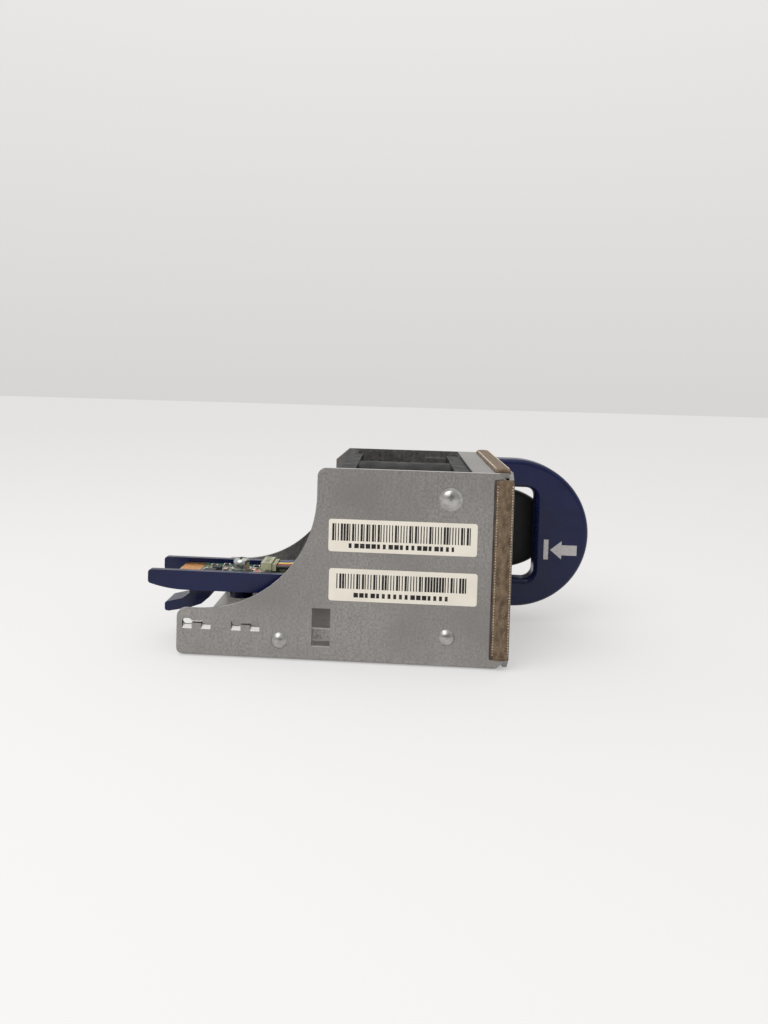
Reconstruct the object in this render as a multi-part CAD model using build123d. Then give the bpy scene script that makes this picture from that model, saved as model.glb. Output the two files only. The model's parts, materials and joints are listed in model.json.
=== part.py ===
"""Switch fan tray: a hot-swap fan module for the rear of a rack switch, in millimetres.

While it is being modelled, the part stands with x = 0 at the rear edge of the tray's tail, y = 0 on the near wall's
outer face and z = 0 on the underside of the floor. X runs forward to the handle, Y across to the far wall and Z up.
The last step moves everything so that the origin is at the middle of the footprint, on the surface it rests on.
"""

import os
from math import atan2, ceil, cos, degrees, hypot, radians, sin, tan

from build123d import *

# Tray: one folded sheet with a floor and two walls
SHEET = 1.0
BODY_LENGTH = 70.8
BODY_HEIGHT = 41.5
BEND_OUTER_RADIUS = 1.3
TAIL_HEIGHT = 10.3
SHOULDER_X = 29.65
SHOULDER_STRAIGHT = 5.8
SWEEP_TAIL_MARGIN = 4.0
TAIL_CORNER_RADIUS = 1.8
FAR_SHOULDER_CUT_LENGTH = 3.5
FAR_SHOULDER_CUT_HEIGHT = 3.1
FRONT_CORNER_CUT = 1.9
FACE_CORNER_CUT = 2.5
LEVER_CHANNEL_WIDTH = 6.9
CUT_OVERRUN = 3.0
WALL_FRONT_X = BODY_LENGTH - SHEET

# Clearances
FASTENER_CLEARANCE = 0.05
SEAT_GAP = 0.1
SLIP_GAP = 0.2

# Fan housing
FAN_TOP_CLEARANCE = 0.5
FAN_LENGTH = 28.0
FAN_FLANGE = 3.3
FAN_CORNER_RADIUS = 2.4
FAN_RIM_WALL = 1.0
FAN_BARREL_WALL = 0.9
FAN_HOLE_INSET = 4.0
FAN_HOLE_DIAMETER = 3.4
FAN_REAR_X = 34.0
FAN_BASE_DIAMETER = 21.0
FAN_BASE_INSET = 0.5
FAN_BASE_THICKNESS = 2.0
FAN_STRUTS = 5
STRUT_THICKNESS = 1.3
STRUT_DEPTH = 4.0
STRUT_SWEEP_DEGREES = 24.0
FAN_SIZE = BODY_HEIGHT - SHEET - FAN_TOP_CLEARANCE
FAN_BORE = FAN_SIZE - 2 * FAN_RIM_WALL
FAN_HOLE_PITCH = FAN_SIZE - 2 * FAN_HOLE_INSET
FAN_FRONT_X = FAN_REAR_X + FAN_LENGTH
FAN_NEAR_Y = 2 * SHEET + SEAT_GAP
FAN_Y = FAN_NEAR_Y + FAN_SIZE / 2
FAN_Z = SHEET + FAN_SIZE / 2
BODY_WIDTH = FAN_NEAR_Y + FAN_SIZE + SHEET + LEVER_CHANNEL_WIDTH

# Fan motor and rotor, along the fan's axis
SHAFT_DIAMETER = 2.0
SHAFT_RUNNING_CLEARANCE = 0.04
BEARING_DIAMETER = 5.0
BEARING_LENGTH = 3.0
BEARING_TUBE_WALL = 0.8
BEARING_TUBE_LENGTH = 19.0
TUBE_LIP = 0.5
MOTOR_BOARD_THICKNESS = 0.8
MOTOR_BOARD_DIAMETER = 17.9
HUB_DIAMETER = 20.0
HUB_LENGTH = 19.5
HUB_WALL = 1.1
HUB_NOSE_WALL = 1.6
HUB_NOSE_RADIUS = 1.4
HUB_FRONT_INSET = 2.0
MAGNET_THICKNESS = 0.9
MAGNET_LENGTH = 12.0
MAGNET_INSET = 3.0
STATOR_DIAMETER = 15.4
STATOR_LENGTH = 8.0
STATOR_INSET = 3.2
STATOR_POLES = 4
STATOR_CORE_WALL = 0.9
POLE_NECK_WIDTH = 2.2
POLE_SHOE_THICKNESS = 0.9
POLE_SLOT_WIDTH = 1.2
COIL_THICKNESS = 0.8
COIL_GAP = 0.05
CLIP_THICKNESS = 0.4
CLIP_DIAMETER = 3.6
CLIP_MOUTH = 1.2
BLADES = 7
BLADE_ROOT_CHORD = 13.0
BLADE_TIP_CHORD = 16.0
BLADE_ROOT_ANGLE = 46.0
BLADE_TIP_ANGLE = 62.0
BLADE_THICKNESS = 1.1
BLADE_EDGE = 0.35
BLADE_CAMBER = 1.9
BLADE_ROOT_SINK = 0.6
BLADE_TIP_CLEARANCE = 0.5
BLADE_TIP_OVERRUN = 1.6
BLADE_FRONT_INSET = 3.6
AXLE_STEP = 0.3

# Front plate: a pan whose four returns stand behind its face
EAR_LENGTH = 8.5
EAR_HEIGHT = 8.0
RETURN_END_GAP = 1.8
TOP_RETURN_SIDE_GAP = 0.05
GRILLE_RIM = 0.5
HEX_FLAT = 3.4
HEX_WEB = 0.8
LEVER_SLOT_MARGIN = 0.6
GRILLE_DIAMETER = FAN_BORE - 2 * GRILLE_RIM
RETURN_REAR_X = FAN_FRONT_X + SLIP_GAP

# Conductive gaskets round the mouth
GASKET_WIDTH = 3.4
GASKET_THICKNESS = 0.9
GASKET_FRONT_INSET = 0.45
GASKET_TOP_INSET = 1.3
GASKET_BOTTOM_INSET = 2.2
GASKET_END_INSET = 1.9
GASKET_FACE_SHARE = 0.55
GASKET_FRONT_X = BODY_LENGTH - GASKET_FRONT_INSET
GASKET_REAR_X = GASKET_FRONT_X - GASKET_WIDTH

# Dome rivets that hold the front plate and the board carrier to the walls
RIVET_DIAMETER = 2.0
RIVET_HEAD_DIAMETER = 3.5
RIVET_HEAD_HEIGHT = 0.9
RIVET_TAIL_DIAMETER = 3.0
RIVET_TAIL_HEIGHT = 0.6
BIG_RIVET_HEAD_DIAMETER = 4.3
BIG_RIVET_RING_DIAMETER = 4.9
BIG_RIVET_RING_HEIGHT = 0.25
RIVET_X = 57.75
LOWER_RIVET_Z = 6.45
UPPER_RIVET_DROP = 5.7
UPPER_RIVET_Z = BODY_HEIGHT - UPPER_RIVET_DROP
CARRIER_RIVET_X = 22.25
CARRIER_RIVET_Z = 4.2
CARRIER_RIVET_GRIP = 3.4

# Window and the pressed bridge across it, in both walls
WINDOW_REAR_X = 29.15
WINDOW_FRONT_X = 33.1
WINDOW_BOTTOM_Z = 3.2
WINDOW_TOP_Z = 11.55
BRIDGE_RISE = 1.3
BRIDGE_HEIGHT = 2.2
BRIDGE_FOOT_OFFSET = 0.3
BRIDGE_LEAN = 0.9
BRIDGE_OVERLAP = 0.3

# Lanced eyes in the tail, in both walls
LANCE_CENTRES = (4.3, 14.9)
LANCE_Z = 7.45
LANCE_LENGTH = 6.2
EYE_LENGTH = 2.1
EYE_HEIGHT = 1.4
EYE_LINK_HEIGHT = 0.45
LANCE_LIP_DROP = 0.8
LANCE_LIP_DEPTH = 0.6

# Handle
HANDLE_THICKNESS = 6.0
HANDLE_BOTTOM_Z = 4.1
HANDLE_TOP_DROP = 0.2
HANDLE_REACH = 23.5
HANDLE_GRIP = 13.2
HANDLE_LEG_HEIGHT = 7.0
HANDLE_LEVER_GAP = 4.1
HANDLE_OPENING_RADIUS = 2.6
HANDLE_EDGE_RADIUS = 1.2
HANDLE_SCREW_DIAMETER = 2.5
HANDLE_SCREW_DEPTH = 6.5
HANDLE_SCREW_HEAD_DIAMETER = 4.4
HANDLE_SCREW_HEAD_HEIGHT = 1.5
DRIVE_RECESS_WIDTH = 0.6
DRIVE_RECESS_LENGTH = 2.4
DRIVE_RECESS_DEPTH = 0.8
HANDLE_TOP_Z = BODY_HEIGHT - HANDLE_TOP_DROP
HANDLE_HEIGHT = HANDLE_TOP_Z - HANDLE_BOTTOM_Z
HANDLE_FRONT_X = BODY_LENGTH + HANDLE_REACH

# Release lever in the channel between the fan and the far wall
LEVER_THICKNESS = 2.8
LEVER_WALL_GAP = 1.6
LEVER_ARM_HEIGHT = 13.0
LEVER_RISE = 0.95
LEVER_PIVOT_X = 36.5
LEVER_PIVOT_INSET = 0.8
LEVER_BARREL_DIAMETER = 4.4
LEVER_SQUEEZE_DEGREES = 4.0
PADDLE_HEIGHT = 21.2
PADDLE_REACH = 16.0
PADDLE_FLAT = 2.0
PADDLE_REAR_INSET = 2.6
PADDLE_EDGE_RADIUS = 0.8
GRIP_RIB_RADIUS = 0.35
GRIP_RIB_PITCH = 2.2
GRIP_RIBS = 4
CATCH_FRONT_X = 58.5
CATCH_LENGTH = 4.4
CATCH_HEIGHT = 7.0
CATCH_PROUD = 1.3
CATCH_WINDOW_MARGIN = 1.0
LEVER_Z = (SHEET + BODY_HEIGHT) / 2 + LEVER_RISE
LEVER_FAR_Y = BODY_WIDTH - SHEET - LEVER_WALL_GAP
LEVER_NEAR_Y = LEVER_FAR_Y - LEVER_THICKNESS
LEVER_PIVOT_Y = LEVER_NEAR_Y + LEVER_PIVOT_INSET
HANDLE_FAR_Y = LEVER_NEAR_Y - HANDLE_LEVER_GAP
HANDLE_NEAR_Y = HANDLE_FAR_Y - HANDLE_THICKNESS

# Lever bracket, pin and spring
BRACKET_SHEET = 1.0
BRACKET_LENGTH = 9.0
BRACKET_EAR_REACH = 5.0
BRACKET_INSIDE_HEIGHT = 16.4
PIN_DIAMETER = 2.0
PIN_PROUD = 0.5
PIN_HEAD_DIAMETER = 3.2
SPRING_WIRE = 0.5
SPRING_TURNS = 4
SPRING_PITCH_SHARE = 0.9
SPRING_COIL_DIAMETER = 3.5
SPRING_LEG_LENGTH = 6.0
SPRING_ROOM = 3.0
BRACKET_RIVET_INSET = 6.6
BRACKET_RIVET_SPREAD = 10.0

# Board carrier
BEAM_NEAR_Y = 4.0
BEAM_THICKNESS = 1.5
BEAM_SPACING = 12.5
BEAM_TOP_Z = 17.4
BEAM_HEIGHT = 4.25
BEAM_REAR_X = -7.7
BEAM_FRONT_X = 26.0
PRONG_TAPER_LENGTH = 8.5
PRONG_TAPER_RISE = 1.35
PRONG_TIP_RADIUS = 0.7
DECK_REAR_X = 0.8
DECK_THICKNESS = 2.05
TONGUE_ROOT_X = (0.9, 6.0)
TONGUE_LOWER = ((5.3, 2.3), (3.5, 3.9), (0.8, 4.9), (-3.9, 5.85), (-4.85, 5.7))
TONGUE_UPPER = ((-4.85, 3.85), (-0.9, 2.85), (0.7, 1.55))
TONGUE_END_RADIUS = 0.5
TONGUE_SIDE_INSET = 2.0
LEG_REAR_X = 18.5
LEG_LENGTH = 7.0
NEAR_FOOT_HEIGHT = 7.0
FAR_FOOT_REACH = 5.5
FAR_FOOT_HEIGHT = 2.0
BOSS_DIAMETER = 5.4
BOSS_DEPTH = 2.6
FLOOR_RIVET_HEAD_HEIGHT = 0.7

# Circuit board and what it carries
BOARD_REAR_X = -2.2
BOARD_FRONT_X = 22.4
BOARD_THICKNESS = 1.2
BOARD_SIDE_GAP = 0.2
BOARD_CORNER_CUT = 0.7
KEY_SLOT_WIDTH = 0.9
KEY_SLOT_DEPTH = 3.6
KEY_SLOT_OFFSET = -3.0
CONTACTS = 8
CONTACT_PITCH = 1.2
CONTACT_WIDTH = 1.05
CONTACT_LENGTH = 4.6
CONTACT_THICKNESS = 0.08
CONTACT_END_INSET = 0.2
BOARD_SCREW_X = 11.7
BOARD_SCREW_Y = 11.0
BOARD_SCREW_DIAMETER = 2.4
BOARD_SCREW_LENGTH = 4.6
BOARD_SCREW_HEAD_DIAMETER = 3.7
BOARD_SCREW_HEAD_HEIGHT = 2.3
WASHER_DIAMETER = 4.6
WASHER_THICKNESS = 0.5
HEADER_REAR_X = 16.4
HEADER_Y = 12.4
HEADER_LENGTH = 2.4
HEADER_WIDTH = 6.4
HEADER_HEIGHT = 2.2
HEADER_WALL = 0.45
HEADER_PINS = 4
HEADER_PITCH = 1.4
HEADER_PIN_SIZE = 0.4
PLUG_FIT = 0.1
PLUG_PROUD = 1.0
PLUG_SHOULDER = 0.35

# Chips and passives as (x, y, length, width, height) on the board
CHIPS = ((6.4, 10.0, 1.9, 1.6, 0.9), (18.4, 7.6, 1.6, 1.4, 0.9), (5.4, 7.2, 2.6, 1.6, 0.9))
CAPACITORS = ((8.6, 8.9, 0.9, 1.7, 0.8), (14.9, 9.4, 1.0, 1.8, 0.8), (16.0, 7.4, 1.7, 0.9, 0.8))
RESISTORS = (
    (5.0, 13.6, 1.5, 0.8, 0.45),
    (7.7, 14.6, 1.5, 0.8, 0.45),
    (14.7, 14.2, 1.5, 0.8, 0.45),
    (3.9, 9.4, 0.8, 1.5, 0.45),
)
PART_EDGE_SHARE = 1 / 6

# Fan wires
WIRE_DIAMETER = 0.9
WIRE_STACK_PITCH = 1.3
WIRE_STACK_Y = 13.0
WIRE_NOTCH_MARGIN = 0.35
WIRE_NAMES = ("wire_black", "wire_red", "wire_yellow", "wire_blue")
WIRE_RISE_SHARES = (0.0, 0.0, 0.6, 1.0, 1.0)
WIRE_RUN_SHARES = (0.0, 0.22, 0.48, 0.72, 1.0)
WIRE_RADIUS_SHARE = 0.45

# Places that follow from the sizes above
SWEEP_RADIUS = min(BODY_HEIGHT - TAIL_HEIGHT - SHOULDER_STRAIGHT, SHOULDER_X - SWEEP_TAIL_MARGIN)
SWEEP_CENTRE_X = SHOULDER_X - SWEEP_RADIUS
SWEEP_CENTRE_Z = TAIL_HEIGHT + SWEEP_RADIUS
BEAM_FAR_Y = BEAM_NEAR_Y + BEAM_SPACING
BEAM_BOTTOM_Z = BEAM_TOP_Z - BEAM_HEIGHT
CARRIER_NEAR_Y = BEAM_NEAR_Y + BEAM_THICKNESS
CARRIER_FAR_Y = BEAM_FAR_Y
CARRIER_Y = (CARRIER_NEAR_Y + CARRIER_FAR_Y) / 2
DECK_TOP_Z = BEAM_BOTTOM_Z + DECK_THICKNESS
BOARD_TOP_Z = DECK_TOP_Z + BOARD_THICKNESS
BASE_REAR_X = FAN_REAR_X + FAN_BASE_INSET
BASE_FRONT_X = BASE_REAR_X + FAN_BASE_THICKNESS
HUB_FRONT_X = FAN_FRONT_X - HUB_FRONT_INSET
HUB_REAR_X = HUB_FRONT_X - HUB_LENGTH
FAR_WALL_INNER_Y = BODY_WIDTH - SHEET
BRACKET_BASE_Y = FAR_WALL_INNER_Y - BRACKET_SHEET
PLUG_FRONT_X = HEADER_REAR_X + HEADER_LENGTH + PLUG_PROUD


def block(x0, x1, y0, y1, z0, z1):
    """A box between two corners."""
    middle = Pos((x0 + x1) / 2, (y0 + y1) / 2, (z0 + z1) / 2)
    return middle * Box(x1 - x0, y1 - y0, z1 - z0)


def across(sketch, y0, y1):
    """A sketch of X and Z, carried from y0 to y1."""
    plane = Plane(origin=(0, y1, 0), x_dir=(1, 0, 0), z_dir=(0, -1, 0))
    return extrude(plane * sketch, amount=y1 - y0)


def along(sketch, x0, x1):
    """A sketch of Y and Z, carried from x0 to x1."""
    plane = Plane(origin=(x0, 0, 0), x_dir=(0, 1, 0), z_dir=(1, 0, 0))
    return extrude(plane * sketch, amount=x1 - x0)


def upward(sketch, z0, z1):
    """A sketch of X and Y, carried from z0 to z1."""
    return extrude(Plane(origin=(0, 0, z0)) * sketch, amount=z1 - z0)


def outline(*points):
    """A closed polygon."""
    return make_face(Polyline(*points, close=True))


def disc(u, v, diameter):
    """A circle at a place in a sketch."""
    return Pos(u, v) * Circle(diameter / 2)


def rectangle(u0, u1, v0, v1):
    """A rectangle between two corners of a sketch."""
    return Pos((u0 + u1) / 2, (v0 + v1) / 2) * Rectangle(u1 - u0, v1 - v0)


def rounded(sketch, radius, *corners):
    """A sketch with the vertices nearest the given corners rounded."""
    chosen = [sketch.vertices().sort_by_distance((u, v, 0))[0] for u, v in corners]
    return fillet(chosen, radius)


def axial(sketch_diameter, x0, x1):
    """A round bar on the fan's axis."""
    return along(disc(FAN_Y, FAN_Z, sketch_diameter), x0, x1)


def tube(outer, inner, x0, x1):
    """A tube on the fan's axis."""
    return along(disc(FAN_Y, FAN_Z, outer) - disc(FAN_Y, FAN_Z, inner), x0, x1)


def wall_outline():
    """The side wall: a low tail, a concave sweep up to the shoulder and a tall part with cut front corners."""
    low = FRONT_CORNER_CUT
    edge = Polyline(
        (SWEEP_CENTRE_X, TAIL_HEIGHT),
        (0, TAIL_HEIGHT),
        (0, 0),
        (WALL_FRONT_X - low, 0),
        (WALL_FRONT_X, low),
        (WALL_FRONT_X, BODY_HEIGHT - low),
        (WALL_FRONT_X - low, BODY_HEIGHT),
        (SHOULDER_X, BODY_HEIGHT),
        (SHOULDER_X, SWEEP_CENTRE_Z),
    )
    sweep = CenterArc((SWEEP_CENTRE_X, SWEEP_CENTRE_Z), SWEEP_RADIUS, -90, 90)
    face = make_face([edge, sweep])
    return rounded(face, TAIL_CORNER_RADIUS, (0, 0), (0, TAIL_HEIGHT), (SHOULDER_X, BODY_HEIGHT))


def lance_eyes(x):
    """The dumbbell opening of one lanced feature: two eyes and the slit that links them."""
    reach = (LANCE_LENGTH - EYE_LENGTH) / 2
    eyes = [Pos(x + side * reach, LANCE_Z) * SlotOverall(EYE_LENGTH, EYE_HEIGHT) for side in (-1, 1)]
    link = Pos(x, LANCE_Z) * Rectangle(LANCE_LENGTH - EYE_LENGTH, EYE_LINK_HEIGHT)
    return eyes[0] + eyes[1] + link


def lance_lips(x, outer_y, inward):
    """The slopes that the lancing tool presses into the wall's outer face under the two eyes."""
    reach = (LANCE_LENGTH - EYE_LENGTH) / 2
    eye_z = LANCE_Z - EYE_HEIGHT / 2
    slope = outline(
        (outer_y, eye_z - LANCE_LIP_DROP),
        (outer_y + inward * LANCE_LIP_DEPTH, eye_z),
        (outer_y + inward * LANCE_LIP_DEPTH, LANCE_Z),
        (outer_y, LANCE_Z),
    )
    middles = (x - reach, x + reach)
    return [along(slope, middle - EYE_LENGTH / 2, middle + EYE_LENGTH / 2) for middle in middles]


def window_bridge(outer_y, inward):
    """The strip left across the window, pressed inward and leaning, and joined to the window's two sides."""
    low = WINDOW_BOTTOM_Z + BRIDGE_RISE
    foot = outer_y + inward * BRIDGE_FOOT_OFFSET
    head = foot + inward * BRIDGE_LEAN
    section = outline(
        (foot, low),
        (foot + inward * SHEET, low),
        (head + inward * SHEET, low + BRIDGE_HEIGHT),
        (head, low + BRIDGE_HEIGHT),
    )
    return along(section, WINDOW_REAR_X - BRIDGE_OVERLAP, WINDOW_FRONT_X + BRIDGE_OVERLAP)


def tray():
    """The folded sheet: floor, walls, windows, bridges, lances and rivet holes."""
    outer = rectangle(0, BODY_WIDTH, 0, BODY_HEIGHT)
    outer = rounded(outer, BEND_OUTER_RADIUS, (0, 0), (BODY_WIDTH, 0))
    hollow = rectangle(SHEET, BODY_WIDTH - SHEET, SHEET, BODY_HEIGHT + CUT_OVERRUN)
    hollow = rounded(hollow, BEND_OUTER_RADIUS - SHEET, (SHEET, SHEET), (BODY_WIDTH - SHEET, SHEET))
    body = along(outer - hollow, 0, WALL_FRONT_X) & across(wall_outline(), -CUT_OVERRUN, BODY_WIDTH + CUT_OVERRUN)

    floor_end = block(
        GASKET_REAR_X - SLIP_GAP, BODY_LENGTH, SHEET, BODY_WIDTH - SHEET, -CUT_OVERRUN, SHEET + BEND_OUTER_RADIUS
    )
    body -= floor_end

    holes = rectangle(WINDOW_REAR_X, WINDOW_FRONT_X, WINDOW_BOTTOM_Z, WINDOW_TOP_Z)
    for z in (LOWER_RIVET_Z, UPPER_RIVET_Z):
        holes += disc(RIVET_X, z, RIVET_DIAMETER + 2 * FASTENER_CLEARANCE)
    for x in LANCE_CENTRES:
        holes += lance_eyes(x)
    body -= across(holes, -CUT_OVERRUN, BODY_WIDTH + CUT_OVERRUN)

    near_hole = disc(CARRIER_RIVET_X, CARRIER_RIVET_Z, RIVET_DIAMETER + 2 * FASTENER_CLEARANCE)
    body -= across(near_hole, -CUT_OVERRUN, SHEET + FASTENER_CLEARANCE)

    catch_window = rectangle(
        CATCH_FRONT_X - CATCH_LENGTH - CATCH_WINDOW_MARGIN,
        CATCH_FRONT_X + CATCH_WINDOW_MARGIN,
        LEVER_Z - CATCH_HEIGHT / 2 - CATCH_WINDOW_MARGIN,
        LEVER_Z + CATCH_HEIGHT / 2 + CATCH_WINDOW_MARGIN,
    )
    for z in bracket_rivet_heights():
        catch_window += disc(bracket_rivet_x(), z, RIVET_DIAMETER + 2 * FASTENER_CLEARANCE)
    body -= across(catch_window, FAR_WALL_INNER_Y - FASTENER_CLEARANCE, BODY_WIDTH + CUT_OVERRUN)

    floor_hole = disc(far_foot_x(), far_foot_y(), RIVET_DIAMETER + 2 * FASTENER_CLEARANCE)
    sink = Plane(origin=(far_foot_x(), far_foot_y(), 0)) * Circle(floor_rivet_head_radius() + FASTENER_CLEARANCE)
    body -= upward(floor_hole, -CUT_OVERRUN, SHEET + CUT_OVERRUN)
    body -= extrude(sink, amount=FLOOR_RIVET_HEAD_HEIGHT + FASTENER_CLEARANCE, taper=floor_rivet_taper())

    for x in LANCE_CENTRES:
        for slope in lance_lips(x, 0, 1) + lance_lips(x, BODY_WIDTH, -1):
            body -= slope
    body -= across(far_shoulder_cut(), FAR_WALL_INNER_Y - CUT_OVERRUN, BODY_WIDTH + CUT_OVERRUN)
    return body + window_bridge(0, 1) + window_bridge(BODY_WIDTH, -1)


def far_shoulder_cut():
    """The corner that is cut off the far wall's shoulder."""
    return outline(
        (SHOULDER_X, BODY_HEIGHT),
        (SHOULDER_X, BODY_HEIGHT - FAR_SHOULDER_CUT_HEIGHT),
        (SHOULDER_X + FAR_SHOULDER_CUT_LENGTH, BODY_HEIGHT),
    )


def far_foot_x():
    """The floor rivet stands in the middle of the far foot."""
    return LEG_REAR_X + LEG_LENGTH / 2


def far_foot_y():
    return BEAM_FAR_Y + BEAM_THICKNESS + FAR_FOOT_REACH / 2


def floor_rivet_head_radius():
    return RIVET_TAIL_DIAMETER / 2


def floor_rivet_taper():
    """The countersink's half angle, in degrees, from the head's radius down to the shank's."""
    return degrees(atan2(floor_rivet_head_radius() - RIVET_DIAMETER / 2, FLOOR_RIVET_HEAD_HEIGHT))


def bracket_rivet_x():
    return LEVER_PIVOT_X - BRACKET_LENGTH / 2 + BRACKET_RIVET_INSET


def bracket_rivet_heights():
    return (LEVER_Z - BRACKET_RIVET_SPREAD / 2, LEVER_Z + BRACKET_RIVET_SPREAD / 2)


def handle_screw_places():
    """The Y and Z of the two handle screws, in the middle of each leg."""
    y = HANDLE_NEAR_Y + HANDLE_THICKNESS / 2
    return ((y, HANDLE_BOTTOM_Z + HANDLE_LEG_HEIGHT / 2), (y, HANDLE_TOP_Z - HANDLE_LEG_HEIGHT / 2))


def grille_holes():
    """Hexagons in a close-packed pattern inside the fan's circle."""
    pitch = HEX_FLAT + HEX_WEB
    row_step = pitch * sin(radians(60))
    limit = GRILLE_DIAMETER / 2 - HEX_FLAT / 2
    corner_radius = HEX_FLAT / 2 / cos(radians(30))
    rows = ceil(limit / row_step)
    holes = Sketch()
    for row in range(-rows, rows + 1):
        shift = pitch / 2 if row % 2 else 0
        for column in range(-rows - 1, rows + 2):
            u = column * pitch + shift
            v = row * row_step
            if hypot(u, v) <= limit:
                holes += Pos(FAN_Y + u, FAN_Z + v) * RegularPolygon(corner_radius, 6, rotation=30)
    return holes


def lever_slot():
    """The slot in the face that the lever's paddle comes through, wide enough for its whole swing."""
    swing = (BODY_LENGTH - LEVER_PIVOT_X) * tan(radians(LEVER_SQUEEZE_DEGREES))
    half = PADDLE_HEIGHT / 2 + LEVER_SLOT_MARGIN
    return rectangle(
        LEVER_NEAR_Y - swing - LEVER_SLOT_MARGIN / 2, LEVER_FAR_Y + LEVER_SLOT_MARGIN, LEVER_Z - half, LEVER_Z + half
    )


def front_plate():
    """The face with its grille, and near, far, top and bottom returns with riveted ears."""
    face = chamfer(rectangle(0, BODY_WIDTH, 0, BODY_HEIGHT).vertices(), FACE_CORNER_CUT)
    face -= grille_holes()
    face -= lever_slot()
    for y, z in handle_screw_places():
        face -= disc(y, z, HANDLE_SCREW_DIAMETER + 2 * FASTENER_CLEARANCE)
    body = along(face, WALL_FRONT_X, BODY_LENGTH)

    low = SHEET + RETURN_END_GAP
    high = BODY_HEIGHT - SHEET - RETURN_END_GAP / 2
    side = rectangle(RETURN_REAR_X, WALL_FRONT_X, low, high)
    ear_rear = RETURN_REAR_X - EAR_LENGTH
    side += rectangle(ear_rear, RETURN_REAR_X, low, low + EAR_HEIGHT)
    side += rectangle(ear_rear, RETURN_REAR_X, high - EAR_HEIGHT, high)
    for z in (LOWER_RIVET_Z, UPPER_RIVET_Z):
        side -= disc(RIVET_X, z, RIVET_DIAMETER + 2 * FASTENER_CLEARANCE)
    body += across(side, SHEET + TOP_RETURN_SIDE_GAP, 2 * SHEET)
    slot_half = PADDLE_HEIGHT / 2 + LEVER_SLOT_MARGIN
    lever_gap = rectangle(ear_rear, WALL_FRONT_X, LEVER_Z - slot_half, LEVER_Z + slot_half)
    body += across(side - lever_gap, BODY_WIDTH - 2 * SHEET, BODY_WIDTH - SHEET - TOP_RETURN_SIDE_GAP)

    inner = SHEET + TOP_RETURN_SIDE_GAP
    body += block(RETURN_REAR_X, WALL_FRONT_X, inner, BODY_WIDTH - inner, BODY_HEIGHT - SHEET, BODY_HEIGHT)
    body += block(RETURN_REAR_X, WALL_FRONT_X, low, BODY_WIDTH - low, SHEET, 2 * SHEET)
    return body


def gasket_section(u0, u1, v_base, v_top):
    """A strip's cross-section: flat underneath, with rounded shoulders on the sealing side."""
    section = rectangle(u0, u1, min(v_base, v_top), max(v_base, v_top))
    radius = abs(v_top - v_base) * GASKET_FACE_SHARE
    return rounded(section, radius, (u0, v_top), (u1, v_top))


def side_gasket(y_wall, y_outer):
    """A gasket on a side wall, standing up the mouth."""
    section = gasket_section(GASKET_REAR_X, GASKET_FRONT_X, y_wall, y_outer)
    return upward(section, GASKET_BOTTOM_INSET, BODY_HEIGHT - GASKET_TOP_INSET)


def flat_gasket(z_base, z_outer):
    """A gasket across the top or under the bottom return."""
    section = gasket_section(GASKET_REAR_X, GASKET_FRONT_X, z_base, z_outer)
    return across(section, GASKET_END_INSET, BODY_WIDTH - GASKET_END_INSET)


def bottom_gasket():
    """The bottom strip lies in the joggle under the bottom return, level with the floor."""
    strip = gasket_section(GASKET_REAR_X, GASKET_FRONT_X - SHEET, SHEET, SEAT_GAP)
    inset = FACE_CORNER_CUT + GASKET_END_INSET
    return across(strip, inset, BODY_WIDTH - inset)


def dome(diameter, height):
    """A spherical cap on the XY plane."""
    half = diameter / 2
    radius = (half**2 + height**2) / (2 * height)
    centre_z = height - radius
    middle = (atan2(-centre_z, half) + radians(90)) / 2
    arc = ThreePointArc((half, 0), (radius * cos(middle), centre_z + radius * sin(middle)), (0, height))
    profile = make_face([arc, Line((0, height), (0, 0)), Line((0, 0), (half, 0))])
    return revolve(Plane.XZ * profile, Axis.Z)


def rivet(grip, ring=False):
    """A dome rivet: its head stands on the XY plane and its shank fills the grip, set flush at the end."""
    body = dome(BIG_RIVET_HEAD_DIAMETER if ring else RIVET_HEAD_DIAMETER, RIVET_HEAD_HEIGHT)
    if ring:
        body += upward(Circle(BIG_RIVET_RING_DIAMETER / 2), 0, BIG_RIVET_RING_HEIGHT)
    return body + upward(Circle(RIVET_DIAMETER / 2), -grip, 0)


def front_rivets():
    """Four rivets: two in each wall, the upper ones with a flanged head."""
    near = Rot(90, 0, 0)
    far = Rot(-90, 0, 0)
    grip = 2 * SHEET
    rivets = []
    for z, ring in ((LOWER_RIVET_Z, False), (UPPER_RIVET_Z, True)):
        rivets.append(Pos(RIVET_X, 0, z) * near * rivet(grip, ring))
        rivets.append(Pos(RIVET_X, BODY_WIDTH, z) * far * rivet(grip, ring))
    return rivets


def carrier_rivet():
    """The rivet that pins the carrier's near foot to the near wall."""
    return Pos(CARRIER_RIVET_X, 0, CARRIER_RIVET_Z) * Rot(90, 0, 0) * rivet(CARRIER_RIVET_GRIP)


def floor_rivet():
    """The flush rivet that holds the carrier's far foot to the floor."""
    place = Plane(origin=(far_foot_x(), far_foot_y(), 0))
    head = extrude(place * Circle(floor_rivet_head_radius()), amount=FLOOR_RIVET_HEAD_HEIGHT, taper=floor_rivet_taper())
    top = SHEET + FAR_FOOT_HEIGHT
    shank = upward(disc(far_foot_x(), far_foot_y(), RIVET_DIAMETER), 0, top)
    tail = upward(disc(far_foot_x(), far_foot_y(), RIVET_TAIL_DIAMETER), top, top + RIVET_TAIL_HEIGHT)
    return head + shank + tail


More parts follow.
